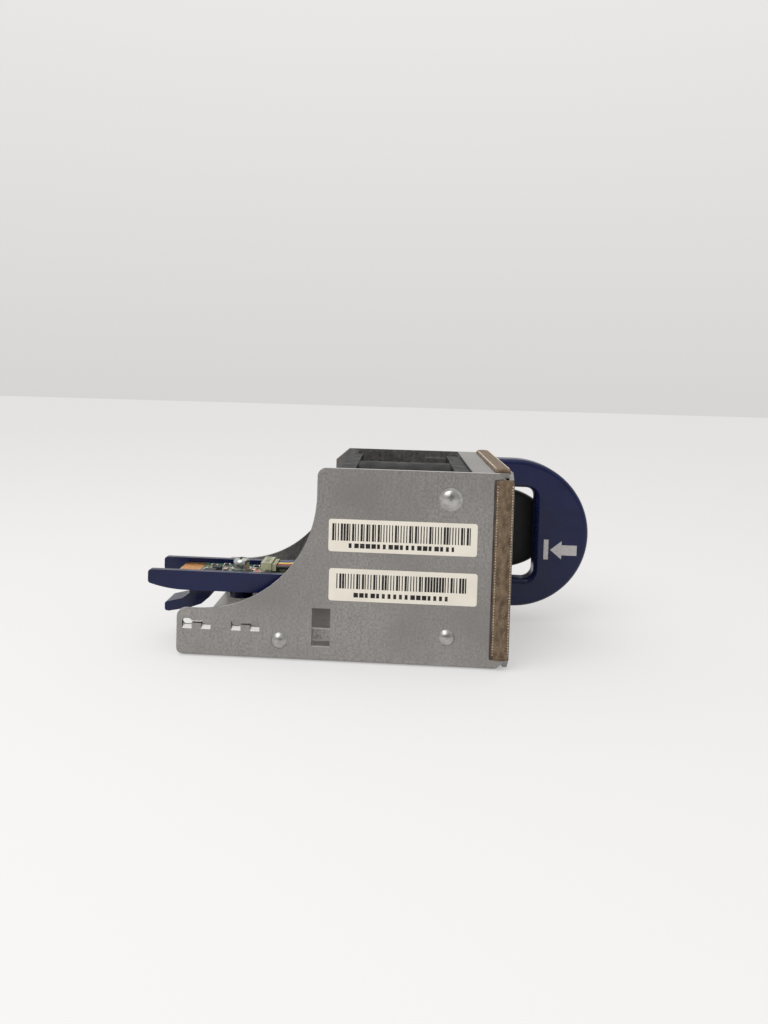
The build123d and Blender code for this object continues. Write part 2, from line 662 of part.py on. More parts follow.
def handle():
    """The half-disc pull: two legs on the face, a round grip and an opening for the fingers."""
    radius = HANDLE_HEIGHT / 2
    centre_x = HANDLE_FRONT_X - radius
    centre_z = HANDLE_BOTTOM_Z + radius
    outer = rectangle(BODY_LENGTH, centre_x, HANDLE_BOTTOM_Z, HANDLE_TOP_Z) + disc(centre_x, centre_z, HANDLE_HEIGHT)
    outer &= rectangle(BODY_LENGTH, HANDLE_FRONT_X, HANDLE_BOTTOM_Z, HANDLE_TOP_Z)
    inner_x = HANDLE_FRONT_X - HANDLE_GRIP
    low = HANDLE_BOTTOM_Z + HANDLE_LEG_HEIGHT
    high = HANDLE_TOP_Z - HANDLE_LEG_HEIGHT
    opening = rectangle(BODY_LENGTH - CUT_OVERRUN, inner_x, low, high)
    opening = rounded(opening, HANDLE_OPENING_RADIUS, (inner_x, low), (inner_x, high))
    body = across(outer - opening, HANDLE_NEAR_Y, HANDLE_FAR_Y)
    faces = body.faces().filter_by(Axis.Y)
    rims = [edge for face in faces for edge in face.edges() if edge.center().X > BODY_LENGTH + SLIP_GAP]
    body = fillet(rims, HANDLE_EDGE_RADIUS)
    for y, z in handle_screw_places():
        hole = disc(y, z, HANDLE_SCREW_DIAMETER + 2 * FASTENER_CLEARANCE)
        body -= along(hole, BODY_LENGTH - CUT_OVERRUN, BODY_LENGTH + HANDLE_SCREW_DEPTH + FASTENER_CLEARANCE)
    return body


def handle_screws():
    """Two pan-head screws from inside the face into the handle's legs."""
    screws = []
    head_x = WALL_FRONT_X - HANDLE_SCREW_HEAD_HEIGHT
    for y, z in handle_screw_places():
        screw = along(disc(y, z, HANDLE_SCREW_DIAMETER), WALL_FRONT_X, BODY_LENGTH + HANDLE_SCREW_DEPTH)
        head = along(disc(y, z, HANDLE_SCREW_HEAD_DIAMETER), head_x, WALL_FRONT_X)
        rim = head.faces().sort_by(Axis.X)[0].edges()
        screw += fillet(rim, HANDLE_SCREW_HEAD_HEIGHT / 2)
        bar = Pos(y, z) * Rectangle(DRIVE_RECESS_LENGTH, DRIVE_RECESS_WIDTH)
        upright = Pos(y, z) * Rectangle(DRIVE_RECESS_WIDTH, DRIVE_RECESS_LENGTH)
        screw -= along(bar + upright, head_x, head_x + DRIVE_RECESS_DEPTH)
        screws.append(screw)
    return screws


def release_lever():
    """The black latch lever: a pivot barrel, an arm, a catch and a half-oval paddle with grip ribs."""
    arm_low = LEVER_Z - LEVER_ARM_HEIGHT / 2
    arm_high = LEVER_Z + LEVER_ARM_HEIGHT / 2
    paddle_rear = WALL_FRONT_X - PADDLE_REAR_INSET
    oval_x = BODY_LENGTH + PADDLE_FLAT
    half = PADDLE_HEIGHT / 2
    oval = Pos(oval_x, LEVER_Z) * Ellipse(PADDLE_REACH - PADDLE_FLAT, half)
    oval &= rectangle(oval_x, BODY_LENGTH + PADDLE_REACH, LEVER_Z - half, LEVER_Z + half)
    paddle = across(rectangle(paddle_rear, oval_x, LEVER_Z - half, LEVER_Z + half) + oval, LEVER_NEAR_Y, LEVER_FAR_Y)
    rims = [edge for edge in paddle.edges() if edge.center().X > oval_x + PADDLE_EDGE_RADIUS]
    paddle = fillet(rims, PADDLE_EDGE_RADIUS)
    for index in range(GRIP_RIBS):
        x = oval_x + PADDLE_EDGE_RADIUS + (index + 1) * GRIP_RIB_PITCH
        length = LEVER_ARM_HEIGHT - index * GRIP_RIB_PITCH
        paddle += Pos(x, LEVER_FAR_Y, LEVER_Z) * Cylinder(GRIP_RIB_RADIUS, length)

    arm = block(LEVER_PIVOT_X, paddle_rear, LEVER_NEAR_Y, LEVER_FAR_Y, arm_low, arm_high)
    barrel_low, barrel_high = barrel_heights()
    barrel = upward(disc(LEVER_PIVOT_X, LEVER_PIVOT_Y, LEVER_BARREL_DIAMETER), barrel_low, barrel_high)
    shoulder = outline(
        (CATCH_FRONT_X - CATCH_LENGTH, LEVER_FAR_Y),
        (CATCH_FRONT_X, BODY_WIDTH + CATCH_PROUD),
        (CATCH_FRONT_X, LEVER_FAR_Y),
    )
    catch = upward(shoulder, LEVER_Z - CATCH_HEIGHT / 2, LEVER_Z + CATCH_HEIGHT / 2)
    body = paddle + arm + barrel + catch
    bore = disc(LEVER_PIVOT_X, LEVER_PIVOT_Y, PIN_DIAMETER + 2 * SHAFT_RUNNING_CLEARANCE)
    body -= upward(bore, barrel_low - CUT_OVERRUN, barrel_high + CUT_OVERRUN)
    spring_room = disc(LEVER_PIVOT_X, LEVER_PIVOT_Y, SPRING_COIL_DIAMETER + 2 * SPRING_WIRE + 2 * SLIP_GAP)
    return body - upward(spring_room, arm_low - CUT_OVERRUN, barrel_low)


def bracket_heights():
    """The inside faces of the bracket's two ears."""
    return (LEVER_Z - BRACKET_INSIDE_HEIGHT / 2, LEVER_Z + BRACKET_INSIDE_HEIGHT / 2)


def barrel_heights():
    """The lever's barrel, above the spring and below the upper ear."""
    low, high = bracket_heights()
    return (low + SPRING_ROOM, high - SEAT_GAP)


def lever_bracket():
    """The folded bracket on the far wall: a back and two ears that hold the pivot pin."""
    low, high = bracket_heights()
    rear = LEVER_PIVOT_X - BRACKET_LENGTH / 2
    front = LEVER_PIVOT_X + BRACKET_LENGTH / 2
    near = FAR_WALL_INNER_Y - BRACKET_EAR_REACH
    back = block(rear, front, BRACKET_BASE_Y, FAR_WALL_INNER_Y, low - BRACKET_SHEET, high + BRACKET_SHEET)
    ear = rectangle(rear, front, near, FAR_WALL_INNER_Y)
    ear = rounded(ear, BRACKET_SHEET, (rear, near), (front, near))
    ear -= disc(LEVER_PIVOT_X, LEVER_PIVOT_Y, PIN_DIAMETER + 2 * FASTENER_CLEARANCE)
    body = back + upward(ear, low - BRACKET_SHEET, low) + upward(ear, high, high + BRACKET_SHEET)
    holes = Sketch()
    for z in bracket_rivet_heights():
        holes += disc(bracket_rivet_x(), z, RIVET_DIAMETER + 2 * FASTENER_CLEARANCE)
    return body - across(holes, BRACKET_BASE_Y - CUT_OVERRUN, FAR_WALL_INNER_Y + CUT_OVERRUN)


def bracket_rivets():
    """Two rivets through the far wall into the bracket's back."""
    heights = bracket_rivet_heights()
    grip = SHEET + BRACKET_SHEET
    return [Pos(bracket_rivet_x(), BODY_WIDTH, z) * Rot(-90, 0, 0) * rivet(grip) for z in heights]


def lever_pin():
    """The headed pivot pin through both ears and the lever's barrel."""
    low, high = bracket_heights()
    top = high + BRACKET_SHEET
    shank = upward(disc(LEVER_PIVOT_X, LEVER_PIVOT_Y, PIN_DIAMETER), low - BRACKET_SHEET - PIN_PROUD, top)
    head = upward(disc(LEVER_PIVOT_X, LEVER_PIVOT_Y, PIN_HEAD_DIAMETER), top, top + PIN_PROUD)
    return shank + head


def lever_spring():
    """The torsion spring under the barrel: close turns round the pin and a leg against the bracket's back."""
    low = bracket_heights()[0] + SEAT_GAP + SPRING_WIRE / 2
    radius = SPRING_COIL_DIAMETER / 2
    ring = Torus(radius, SPRING_WIRE / 2)
    pitch = SPRING_WIRE * SPRING_PITCH_SHARE
    turns = [Pos(LEVER_PIVOT_X, LEVER_PIVOT_Y, low + turn * pitch) * ring for turn in range(SPRING_TURNS)]
    coil = turns[0]
    for turn in turns[1:]:
        coil += turn
    y = LEVER_PIVOT_Y + radius
    leg = Pos(LEVER_PIVOT_X + SPRING_LEG_LENGTH / 2, y, low) * Cylinder(
        SPRING_WIRE / 2, SPRING_LEG_LENGTH, rotation=(0, 90, 0)
    )
    return coil + leg


def beam_outline():
    """A carrier beam from the side: square at the front, with a long curve from below up to a rounded prong."""
    taper_x = BEAM_REAR_X + PRONG_TAPER_LENGTH
    tip_z = BEAM_BOTTOM_Z + PRONG_TAPER_RISE
    radius = (PRONG_TAPER_LENGTH**2 + PRONG_TAPER_RISE**2) / (2 * PRONG_TAPER_RISE)
    half_turn = atan2(PRONG_TAPER_LENGTH, radius - PRONG_TAPER_RISE) / 2
    middle = (taper_x - radius * sin(half_turn), BEAM_BOTTOM_Z + radius * (1 - cos(half_turn)))
    curve = ThreePointArc((BEAM_REAR_X, tip_z), middle, (taper_x, BEAM_BOTTOM_Z))
    edge = Polyline(
        (taper_x, BEAM_BOTTOM_Z),
        (BEAM_FRONT_X, BEAM_BOTTOM_Z),
        (BEAM_FRONT_X, BEAM_TOP_Z),
        (BEAM_REAR_X, BEAM_TOP_Z),
        (BEAM_REAR_X, tip_z),
    )
    face = make_face([curve, edge])
    return rounded(face, PRONG_TIP_RADIUS, (BEAM_REAR_X, BEAM_TOP_Z), (BEAM_REAR_X, tip_z))


def tongue_outline():
    """The lead-in tongue below the board edge: it curves down and to the rear from the deck to a blunt end."""
    root_rear, root_front = TONGUE_ROOT_X
    root_z = BEAM_BOTTOM_Z + DECK_THICKNESS / 2
    edge = [(x, BEAM_BOTTOM_Z - drop) for x, drop in TONGUE_LOWER + TONGUE_UPPER]
    face = outline((root_rear, root_z), (root_front, root_z), *edge)
    lower_end, upper_end = edge[len(TONGUE_LOWER) - 1], edge[len(TONGUE_LOWER)]
    return rounded(face, TONGUE_END_RADIUS, lower_end, upper_end)


def board_carrier():
    """The blue moulding: two pronged beams, a deck under the board, a tongue, a screw boss and two legs."""
    body = across(beam_outline(), BEAM_NEAR_Y, CARRIER_NEAR_Y)
    body += across(beam_outline(), BEAM_FAR_Y, BEAM_FAR_Y + BEAM_THICKNESS)
    body += block(DECK_REAR_X, BEAM_FRONT_X, CARRIER_NEAR_Y, CARRIER_FAR_Y, BEAM_BOTTOM_Z, DECK_TOP_Z)
    body += across(tongue_outline(), CARRIER_NEAR_Y + TONGUE_SIDE_INSET, CARRIER_FAR_Y - TONGUE_SIDE_INSET)
    body += upward(disc(BOARD_SCREW_X, BOARD_SCREW_Y, BOSS_DIAMETER), BEAM_BOTTOM_Z - BOSS_DEPTH, BEAM_BOTTOM_Z)

    leg_front = LEG_REAR_X + LEG_LENGTH
    inner = SHEET + TOP_RETURN_SIDE_GAP
    body += block(LEG_REAR_X, leg_front, BEAM_NEAR_Y, CARRIER_NEAR_Y, SHEET, BEAM_BOTTOM_Z)
    body += block(LEG_REAR_X, leg_front, inner, BEAM_NEAR_Y, SHEET + BEND_OUTER_RADIUS, SHEET + NEAR_FOOT_HEIGHT)
    body += block(LEG_REAR_X, leg_front, BEAM_FAR_Y, BEAM_FAR_Y + BEAM_THICKNESS, SHEET, BEAM_BOTTOM_Z)
    far_end = BEAM_FAR_Y + BEAM_THICKNESS + FAR_FOOT_REACH
    body += block(LEG_REAR_X, leg_front, BEAM_FAR_Y, far_end, SHEET, SHEET + FAR_FOOT_HEIGHT)

    screw_hole = disc(BOARD_SCREW_X, BOARD_SCREW_Y, BOARD_SCREW_DIAMETER + 2 * FASTENER_CLEARANCE)
    screw_tip_z = BOARD_TOP_Z - BOARD_SCREW_LENGTH - FASTENER_CLEARANCE
    body -= upward(screw_hole, screw_tip_z, DECK_TOP_Z + CUT_OVERRUN)
    rivet_hole = disc(CARRIER_RIVET_X, CARRIER_RIVET_Z, RIVET_DIAMETER + 2 * FASTENER_CLEARANCE)
    body -= across(rivet_hole, 0, CARRIER_RIVET_GRIP + FASTENER_CLEARANCE)
    foot_hole = disc(far_foot_x(), far_foot_y(), RIVET_DIAMETER + 2 * FASTENER_CLEARANCE)
    return body - upward(foot_hole, 0, SHEET + FAR_FOOT_HEIGHT + FASTENER_CLEARANCE)


def circuit_board():
    """The board between the beams, with cut corners and a key slot in its contact edge."""
    near = CARRIER_NEAR_Y + BOARD_SIDE_GAP
    far = CARRIER_FAR_Y - BOARD_SIDE_GAP
    face = rectangle(BOARD_REAR_X, BOARD_FRONT_X, near, far)
    rear_corners = face.vertices().sort_by(Axis.X)[:2]
    face = chamfer(rear_corners, BOARD_CORNER_CUT)
    key_y = CARRIER_Y + KEY_SLOT_OFFSET
    key = rectangle(
        BOARD_REAR_X - CUT_OVERRUN,
        BOARD_REAR_X + KEY_SLOT_DEPTH,
        key_y - KEY_SLOT_WIDTH / 2,
        key_y + KEY_SLOT_WIDTH / 2,
    )
    face -= key
    face -= disc(BOARD_SCREW_X, BOARD_SCREW_Y, BOARD_SCREW_DIAMETER + 2 * FASTENER_CLEARANCE)
    return upward(face, DECK_TOP_Z, BOARD_TOP_Z)


def edge_contacts():
    """Gold fingers on both faces of the board's edge, with the key slot's place left free."""
    rear = BOARD_REAR_X + CONTACT_END_INSET
    fingers = []
    key_y = CARRIER_Y + KEY_SLOT_OFFSET
    for index in range(CONTACTS):
        y = CARRIER_Y + (index - (CONTACTS - 1) / 2) * CONTACT_PITCH
        if abs(y - key_y) < (CONTACT_WIDTH + KEY_SLOT_WIDTH) / 2:
            continue
        half = CONTACT_WIDTH / 2
        top = BOARD_TOP_Z + CONTACT_THICKNESS
        fingers.append(block(rear, rear + CONTACT_LENGTH, y - half, y + half, BOARD_TOP_Z, top))
        below = DECK_TOP_Z - CONTACT_THICKNESS
        reach = min(CONTACT_LENGTH, DECK_REAR_X - SEAT_GAP - rear)
        fingers.append(block(rear, rear + reach, y - half, y + half, below, DECK_TOP_Z))
    return fingers


def board_washer():
    face = disc(BOARD_SCREW_X, BOARD_SCREW_Y, WASHER_DIAMETER)
    face -= disc(BOARD_SCREW_X, BOARD_SCREW_Y, BOARD_SCREW_DIAMETER + 2 * FASTENER_CLEARANCE)
    return upward(face, BOARD_TOP_Z, BOARD_TOP_Z + WASHER_THICKNESS)


def board_screw():
    """The pan-head screw that clamps the board to the carrier's boss."""
    seat = BOARD_TOP_Z + WASHER_THICKNESS
    head = upward(disc(BOARD_SCREW_X, BOARD_SCREW_Y, BOARD_SCREW_HEAD_DIAMETER), seat, seat + BOARD_SCREW_HEAD_HEIGHT)
    head = fillet(head.faces().sort_by(Axis.Z)[-1].edges(), BOARD_SCREW_HEAD_HEIGHT / 2)
    shank = upward(disc(BOARD_SCREW_X, BOARD_SCREW_Y, BOARD_SCREW_DIAMETER), BOARD_TOP_Z - BOARD_SCREW_LENGTH, seat)
    spot = Pos(BOARD_SCREW_X, BOARD_SCREW_Y)
    cross = spot * Rectangle(DRIVE_RECESS_LENGTH, DRIVE_RECESS_WIDTH)
    cross += spot * Rectangle(DRIVE_RECESS_WIDTH, DRIVE_RECESS_LENGTH)
    top = seat + BOARD_SCREW_HEAD_HEIGHT
    return head + shank - upward(cross, top - DRIVE_RECESS_DEPTH, top)


def header_box(inset):
    """The header's outside, shrunk by an inset on its sides, as low and high Y and Z."""
    half = HEADER_WIDTH / 2 - inset
    return (HEADER_Y - half, HEADER_Y + half, BOARD_TOP_Z + inset, BOARD_TOP_Z + HEADER_HEIGHT - inset)


def header_pin_ys():
    return [HEADER_Y + (index - (HEADER_PINS - 1) / 2) * HEADER_PITCH for index in range(HEADER_PINS)]


def header_z():
    return BOARD_TOP_Z + HEADER_HEIGHT / 2


def board_header():
    """The shroud on the board that the fan's plug goes into, open to the front."""
    front = HEADER_REAR_X + HEADER_LENGTH
    body = block(HEADER_REAR_X, front, *header_box(0))
    body -= block(HEADER_REAR_X + HEADER_WALL, front + CUT_OVERRUN, *header_box(HEADER_WALL))
    half = HEADER_PIN_SIZE / 2
    for y in header_pin_ys():
        pin = (y - half, y + half, header_z() - half, header_z() + half)
        body -= block(HEADER_REAR_X, HEADER_REAR_X + HEADER_WALL, *pin)
    return body


def header_pins():
    """Square pins through the header's back wall into the plug."""
    half = HEADER_PIN_SIZE / 2
    front = HEADER_REAR_X + HEADER_LENGTH - HEADER_WALL
    return [block(HEADER_REAR_X, front, y - half, y + half, header_z() - half, header_z() + half) for y in header_pin_ys()]


def wire_plug():
    """The plug on the fan's wires: a nose inside the header and a shoulder outside it."""
    inset = HEADER_WALL + PLUG_FIT
    nose_rear = HEADER_REAR_X + HEADER_WALL + PLUG_FIT
    shoulder_rear = HEADER_REAR_X + HEADER_LENGTH + PLUG_FIT
    body = block(nose_rear, shoulder_rear, *header_box(inset))
    body += block(shoulder_rear, PLUG_FRONT_X, *header_box(PLUG_SHOULDER))
    half = HEADER_PIN_SIZE / 2 + FASTENER_CLEARANCE
    front = HEADER_REAR_X + HEADER_LENGTH - HEADER_WALL + FASTENER_CLEARANCE
    for y in header_pin_ys():
        body -= block(nose_rear, front, y - half, y + half, header_z() - half, header_z() + half)
    return body


def surface_parts(places):
    """Small box-shaped parts on the board's top face, with softened upper edges."""
    parts = []
    for x, y, length, width, height in places:
        part = block(x - length / 2, x + length / 2, y - width / 2, y + width / 2, BOARD_TOP_Z, BOARD_TOP_Z + height)
        parts.append(chamfer(part.faces().sort_by(Axis.Z)[-1].edges(), height * PART_EDGE_SHARE))
    return parts


def fan_square(x0, x1):
    face = Pos(FAN_Y, FAN_Z) * RectangleRounded(FAN_SIZE, FAN_SIZE, FAN_CORNER_RADIUS)
    return along(face, x0, x1)


def fan_frame():
    """The fan housing: two square flanges, a barrel, a motor base on struts and a bearing tube."""
    body = fan_square(FAN_REAR_X, FAN_REAR_X + FAN_FLANGE) + fan_square(FAN_FRONT_X - FAN_FLANGE, FAN_FRONT_X)
    barrel = axial(FAN_BORE + 2 * FAN_BARREL_WALL, FAN_REAR_X, FAN_FRONT_X) & fan_square(FAN_REAR_X, FAN_FRONT_X)
    body += barrel
    body -= axial(FAN_BORE, FAN_REAR_X - CUT_OVERRUN, FAN_FRONT_X + CUT_OVERRUN)
    half_pitch = FAN_HOLE_PITCH / 2
    holes = Sketch()
    for u in (-half_pitch, half_pitch):
        for v in (-half_pitch, half_pitch):
            holes += disc(FAN_Y + u, FAN_Z + v, FAN_HOLE_DIAMETER)
    body -= along(holes, FAN_REAR_X - CUT_OVERRUN, FAN_FRONT_X + CUT_OVERRUN)

    struts = Sketch()
    reach = FAN_BORE / 2 + FAN_BARREL_WALL / 2
    for index in range(FAN_STRUTS):
        turn = index * 360 / FAN_STRUTS
        bar = Pos(reach / 2, 0) * Rectangle(reach, STRUT_THICKNESS)
        struts += Pos(FAN_Y, FAN_Z) * Rot(0, 0, turn + STRUT_SWEEP_DEGREES) * bar
    strut_solid = along(struts, BASE_REAR_X, BASE_REAR_X + STRUT_DEPTH)
    strut_solid -= axial(FAN_BASE_DIAMETER, BASE_FRONT_X, FAN_FRONT_X)
    body += strut_solid
    body += axial(FAN_BASE_DIAMETER, BASE_REAR_X, BASE_FRONT_X)
    tube_diameter = BEARING_DIAMETER + 2 * BEARING_TUBE_WALL
    body += axial(tube_diameter, BASE_REAR_X, BASE_FRONT_X + BEARING_TUBE_LENGTH)
    body -= axial(BEARING_DIAMETER, BASE_FRONT_X - TUBE_LIP, FAN_FRONT_X)
    shaft_room = SHAFT_DIAMETER + 2 * SLIP_GAP
    body -= axial(shaft_room + SLIP_GAP, BASE_FRONT_X - 2 * TUBE_LIP, FAN_FRONT_X)

    low, high = wire_stack_zs()[0], wire_stack_zs()[-1]
    margin = WIRE_DIAMETER / 2 + WIRE_NOTCH_MARGIN
    notch = rectangle(WIRE_STACK_Y - margin, WIRE_STACK_Y + margin, low - margin, high + margin)
    return body - along(notch, BASE_REAR_X - CUT_OVERRUN, BASE_REAR_X + STRUT_DEPTH + CUT_OVERRUN)


def wire_stack_zs():
    """Where the wires go through the motor base, one above the other."""
    count = len(WIRE_NAMES)
    return [FAN_Z + (index - (count - 1) / 2) * WIRE_STACK_PITCH for index in range(count)]


def motor_board():
    tube_diameter = BEARING_DIAMETER + 2 * BEARING_TUBE_WALL
    return tube(
        MOTOR_BOARD_DIAMETER,
        tube_diameter + 2 * FASTENER_CLEARANCE,
        BASE_FRONT_X,
        BASE_FRONT_X + MOTOR_BOARD_THICKNESS,
    )


def bearing(x):
    """A sintered bush in the bearing tube."""
    inner = SHAFT_DIAMETER + 2 * SHAFT_RUNNING_CLEARANCE
    return tube(BEARING_DIAMETER - 2 * SHAFT_RUNNING_CLEARANCE, inner, x, x + BEARING_LENGTH)


def rear_bearing_x():
    return BASE_FRONT_X + CLIP_THICKNESS + AXLE_STEP


def front_bearing_x():
    return BASE_FRONT_X + BEARING_TUBE_LENGTH - BEARING_LENGTH - AXLE_STEP


def shaft():
    """The rotor's steel shaft, from behind the rear bush into the hub's nose."""
    return axial(SHAFT_DIAMETER, BASE_FRONT_X - TUBE_LIP / 2, HUB_FRONT_X - HUB_NOSE_WALL / 2)


def shaft_clip():
    """The split ring that keeps the shaft in, behind the rear bush."""
    ring = disc(FAN_Y, FAN_Z, CLIP_DIAMETER) - disc(FAN_Y, FAN_Z, SHAFT_DIAMETER + 2 * FASTENER_CLEARANCE)
    ring -= rectangle(FAN_Y, FAN_Y + CLIP_DIAMETER, FAN_Z - CLIP_MOUTH / 2, FAN_Z + CLIP_MOUTH / 2)
    return along(ring, BASE_FRONT_X + SEAT_GAP, BASE_FRONT_X + SEAT_GAP + CLIP_THICKNESS)


def stator_core():
    """The laminated core: a ring on the bearing tube and four poles with curved shoes."""
    ring_outer = BEARING_DIAMETER + 2 * BEARING_TUBE_WALL + 2 * STATOR_CORE_WALL
    shoes = Circle(STATOR_DIAMETER / 2) - Circle(STATOR_DIAMETER / 2 - POLE_SHOE_THICKNESS)
    core = Circle(ring_outer / 2)
    for index in range(STATOR_POLES):
        turn = Rot(0, 0, index * 360 / STATOR_POLES)
        reach = STATOR_DIAMETER / 2 - POLE_SHOE_THICKNESS / 2
        core += turn * Pos(reach / 2, 0) * Rectangle(reach, POLE_NECK_WIDTH)
        gap_turn = Rot(0, 0, (index + 1 / 2) * 360 / STATOR_POLES)
        shoes -= gap_turn * Pos(STATOR_DIAMETER / 2, 0) * Rectangle(STATOR_DIAMETER / 2, POLE_SLOT_WIDTH)
    core += shoes
    core -= Circle(BEARING_DIAMETER / 2 + BEARING_TUBE_WALL + FASTENER_CLEARANCE)
    x0 = HUB_REAR_X + STATOR_INSET
    return along(Pos(FAN_Y, FAN_Z) * core, x0, x0 + STATOR_LENGTH)


def stator_coils():
    """A copper winding round each pole's neck."""
    ring_outer = BEARING_DIAMETER / 2 + BEARING_TUBE_WALL + STATOR_CORE_WALL
    inner = ring_outer + COIL_THICKNESS / 2
    x0 = HUB_REAR_X + STATOR_INSET
    x1 = x0 + STATOR_LENGTH
    neck = POLE_NECK_WIDTH / 2 + COIL_GAP
    side = neck + COIL_THICKNESS
    shoe_radius = STATOR_DIAMETER / 2 - POLE_SHOE_THICKNESS
    outer = (shoe_radius**2 - side**2) ** 0.5 - COIL_GAP
    coils = []
    for index in range(STATOR_POLES):
        coil = block(x0 - COIL_THICKNESS, x1 + COIL_THICKNESS, -side, side, inner, outer)
        coil -= block(x0 - COIL_GAP, x1 + COIL_GAP, -neck, neck, inner - CUT_OVERRUN, outer + CUT_OVERRUN)
        coils.append(Pos(0, FAN_Y, FAN_Z) * Rot(index * 360 / STATOR_POLES, 0, 0) * coil)
    return coils


def magnet_ring():
    inner = HUB_DIAMETER - 2 * HUB_WALL
    x0 = HUB_REAR_X + MAGNET_INSET / 2
    return tube(inner, inner - 2 * MAGNET_THICKNESS, x0, x0 + MAGNET_LENGTH)


def blade_section(radius, chord, angle):
    """A cambered blade section on a plane square to the radius, turned by its pitch angle from the axis."""
    half = chord / 2
    edge = BLADE_EDGE / 2
    thick = BLADE_THICKNESS / 2
    upper = ThreePointArc((-half, edge), (0, BLADE_CAMBER + thick), (half, edge))
    lower = ThreePointArc((half, -edge), (0, BLADE_CAMBER - thick), (-half, -edge))
    face = make_face([upper, Line((half, edge), (half, -edge)), lower, Line((-half, -edge), (-half, edge))])
    plane = Plane(origin=(0, 0, radius), x_dir=(1, 0, 0), z_dir=(0, 0, 1))
    return plane * Rot(0, 0, angle) * face


def fan_rotor():
    """The moulded rotor: a cup-shaped hub with twisted, cambered blades."""
    hub = axial(HUB_DIAMETER, HUB_REAR_X, HUB_FRONT_X)
    hub = fillet(hub.faces().sort_by(Axis.X)[-1].edges(), HUB_NOSE_RADIUS)
    hub -= axial(HUB_DIAMETER - 2 * HUB_WALL, HUB_REAR_X - CUT_OVERRUN, HUB_FRONT_X - HUB_NOSE_WALL)
    hub -= axial(SHAFT_DIAMETER, HUB_REAR_X, HUB_FRONT_X - HUB_NOSE_WALL / 2)
    root = blade_section(HUB_DIAMETER / 2 - BLADE_ROOT_SINK, BLADE_ROOT_CHORD, BLADE_ROOT_ANGLE)
    tip = blade_section(FAN_BORE / 2 + BLADE_TIP_OVERRUN, BLADE_TIP_CHORD, BLADE_TIP_ANGLE)
    blade = loft([root, tip])
    blade_x = HUB_FRONT_X - BLADE_FRONT_INSET - BLADE_ROOT_CHORD * cos(radians(BLADE_ROOT_ANGLE)) / 2
    swept = axial(FAN_BORE - 2 * BLADE_TIP_CLEARANCE, HUB_REAR_X, HUB_FRONT_X)
    swept -= axial(HUB_DIAMETER - 2 * BLADE_ROOT_SINK, HUB_REAR_X - CUT_OVERRUN, HUB_FRONT_X + CUT_OVERRUN)
    for index in range(BLADES):
        placed = Pos(blade_x, FAN_Y, FAN_Z) * Rot(index * 360 / BLADES, 0, 0) * blade
        hub += placed & swept
    return hub


def wire(start_y, end_z):
    """One fan wire: straight runs and tangent arcs from the plug, up and across, into the motor base's notch."""
    start = Vector(PLUG_FRONT_X, start_y, header_z())
    span = BASE_FRONT_X - PLUG_FRONT_X
    points = []
    for run, rise in zip(WIRE_RUN_SHARES, WIRE_RISE_SHARES):
        x = start.X + run * span
        y = start_y + rise * (WIRE_STACK_Y - start_y)
        z = start.Z + rise * (end_z - start.Z)
        points.append(Vector(x, y, z))
    runs = [after - before for before, after in zip(points, points[1:])]
    radii = []
    for before, after in zip(runs, runs[1:]):
        turn = radians(before.get_angle(after))
        radii.append(WIRE_RADIUS_SHARE * min(before.length, after.length) / tan(turn / 2))
    path = FilletPolyline(*points, radius=radii)
    section = Plane(origin=start, z_dir=(1, 0, 0)) * Circle(WIRE_DIAMETER / 2)
    return sweep(section, path=path)


def model():
    """Every node of the part, by name."""
    nodes = {
        "tray": tray(),
        "front_plate": front_plate(),
        "gasket_near": side_gasket(0, -GASKET_THICKNESS),
        "gasket_far": side_gasket(BODY_WIDTH, BODY_WIDTH + GASKET_THICKNESS),
        "gasket_top": flat_gasket(BODY_HEIGHT, BODY_HEIGHT + GASKET_THICKNESS),
        "gasket_bottom": bottom_gasket(),
        "front_rivets": front_rivets(),
        "carrier_rivet": carrier_rivet(),
        "floor_rivet": floor_rivet(),
        "handle": handle(),
        "handle_screws": handle_screws(),
        "release_lever": release_lever(),
        "lever_bracket": lever_bracket(),
        "bracket_rivets": bracket_rivets(),
        "lever_pin": lever_pin(),
        "lever_spring": lever_spring(),
        "board_carrier": board_carrier(),
        "circuit_board": circuit_board(),
        "edge_contacts": edge_contacts(),
        "board_washer": board_washer(),
        "board_screw": board_screw(),
        "board_header": board_header(),
        "header_pins": header_pins(),
        "wire_plug": wire_plug(),
        "board_chips": surface_parts(CHIPS),
        "board_capacitors": surface_parts(CAPACITORS),
        "board_resistors": surface_parts(RESISTORS),
        "fan_frame": fan_frame(),
        "motor_board": motor_board(),
        "rear_bearing": bearing(rear_bearing_x()),
        "front_bearing": bearing(front_bearing_x()),
        "fan_shaft": shaft(),
        "shaft_clip": shaft_clip(),
        "stator_core": stator_core(),
        "stator_coils": stator_coils(),
        "magnet_ring": magnet_ring(),
        "fan_rotor": fan_rotor(),
    }
    for name, start_y, end_z in zip(WIRE_NAMES, header_pin_ys(), wire_stack_zs()):
        nodes[name] = wire(start_y, end_z)
    return nodes


def footprint_middle():
    """The middle of the whole part's footprint: the prongs to the handle, the near gasket to the lever's catch."""
    near = min(-GASKET_THICKNESS, -RIVET_HEAD_HEIGHT)
    far = max(BODY_WIDTH + CATCH_PROUD, BODY_WIDTH + GASKET_THICKNESS)
    return (BEAM_REAR_X + HANDLE_FRONT_X) / 2, (near + far) / 2


def main():
    os.makedirs("parts", exist_ok=True)
    middle_x, middle_y = footprint_middle()
    to_origin = Pos(-middle_x, -middle_y, 0)
    for name, shape in model().items():
        solids = shape if isinstance(shape, list) else [shape]
        placed = Compound([solid for item in solids for solid in (to_origin * item).solids()])
        export_step(placed, "parts/" + name + ".step")
        print(name, len(placed.solids()), round(placed.volume, 2))


if __name__ == "__main__":
    main()
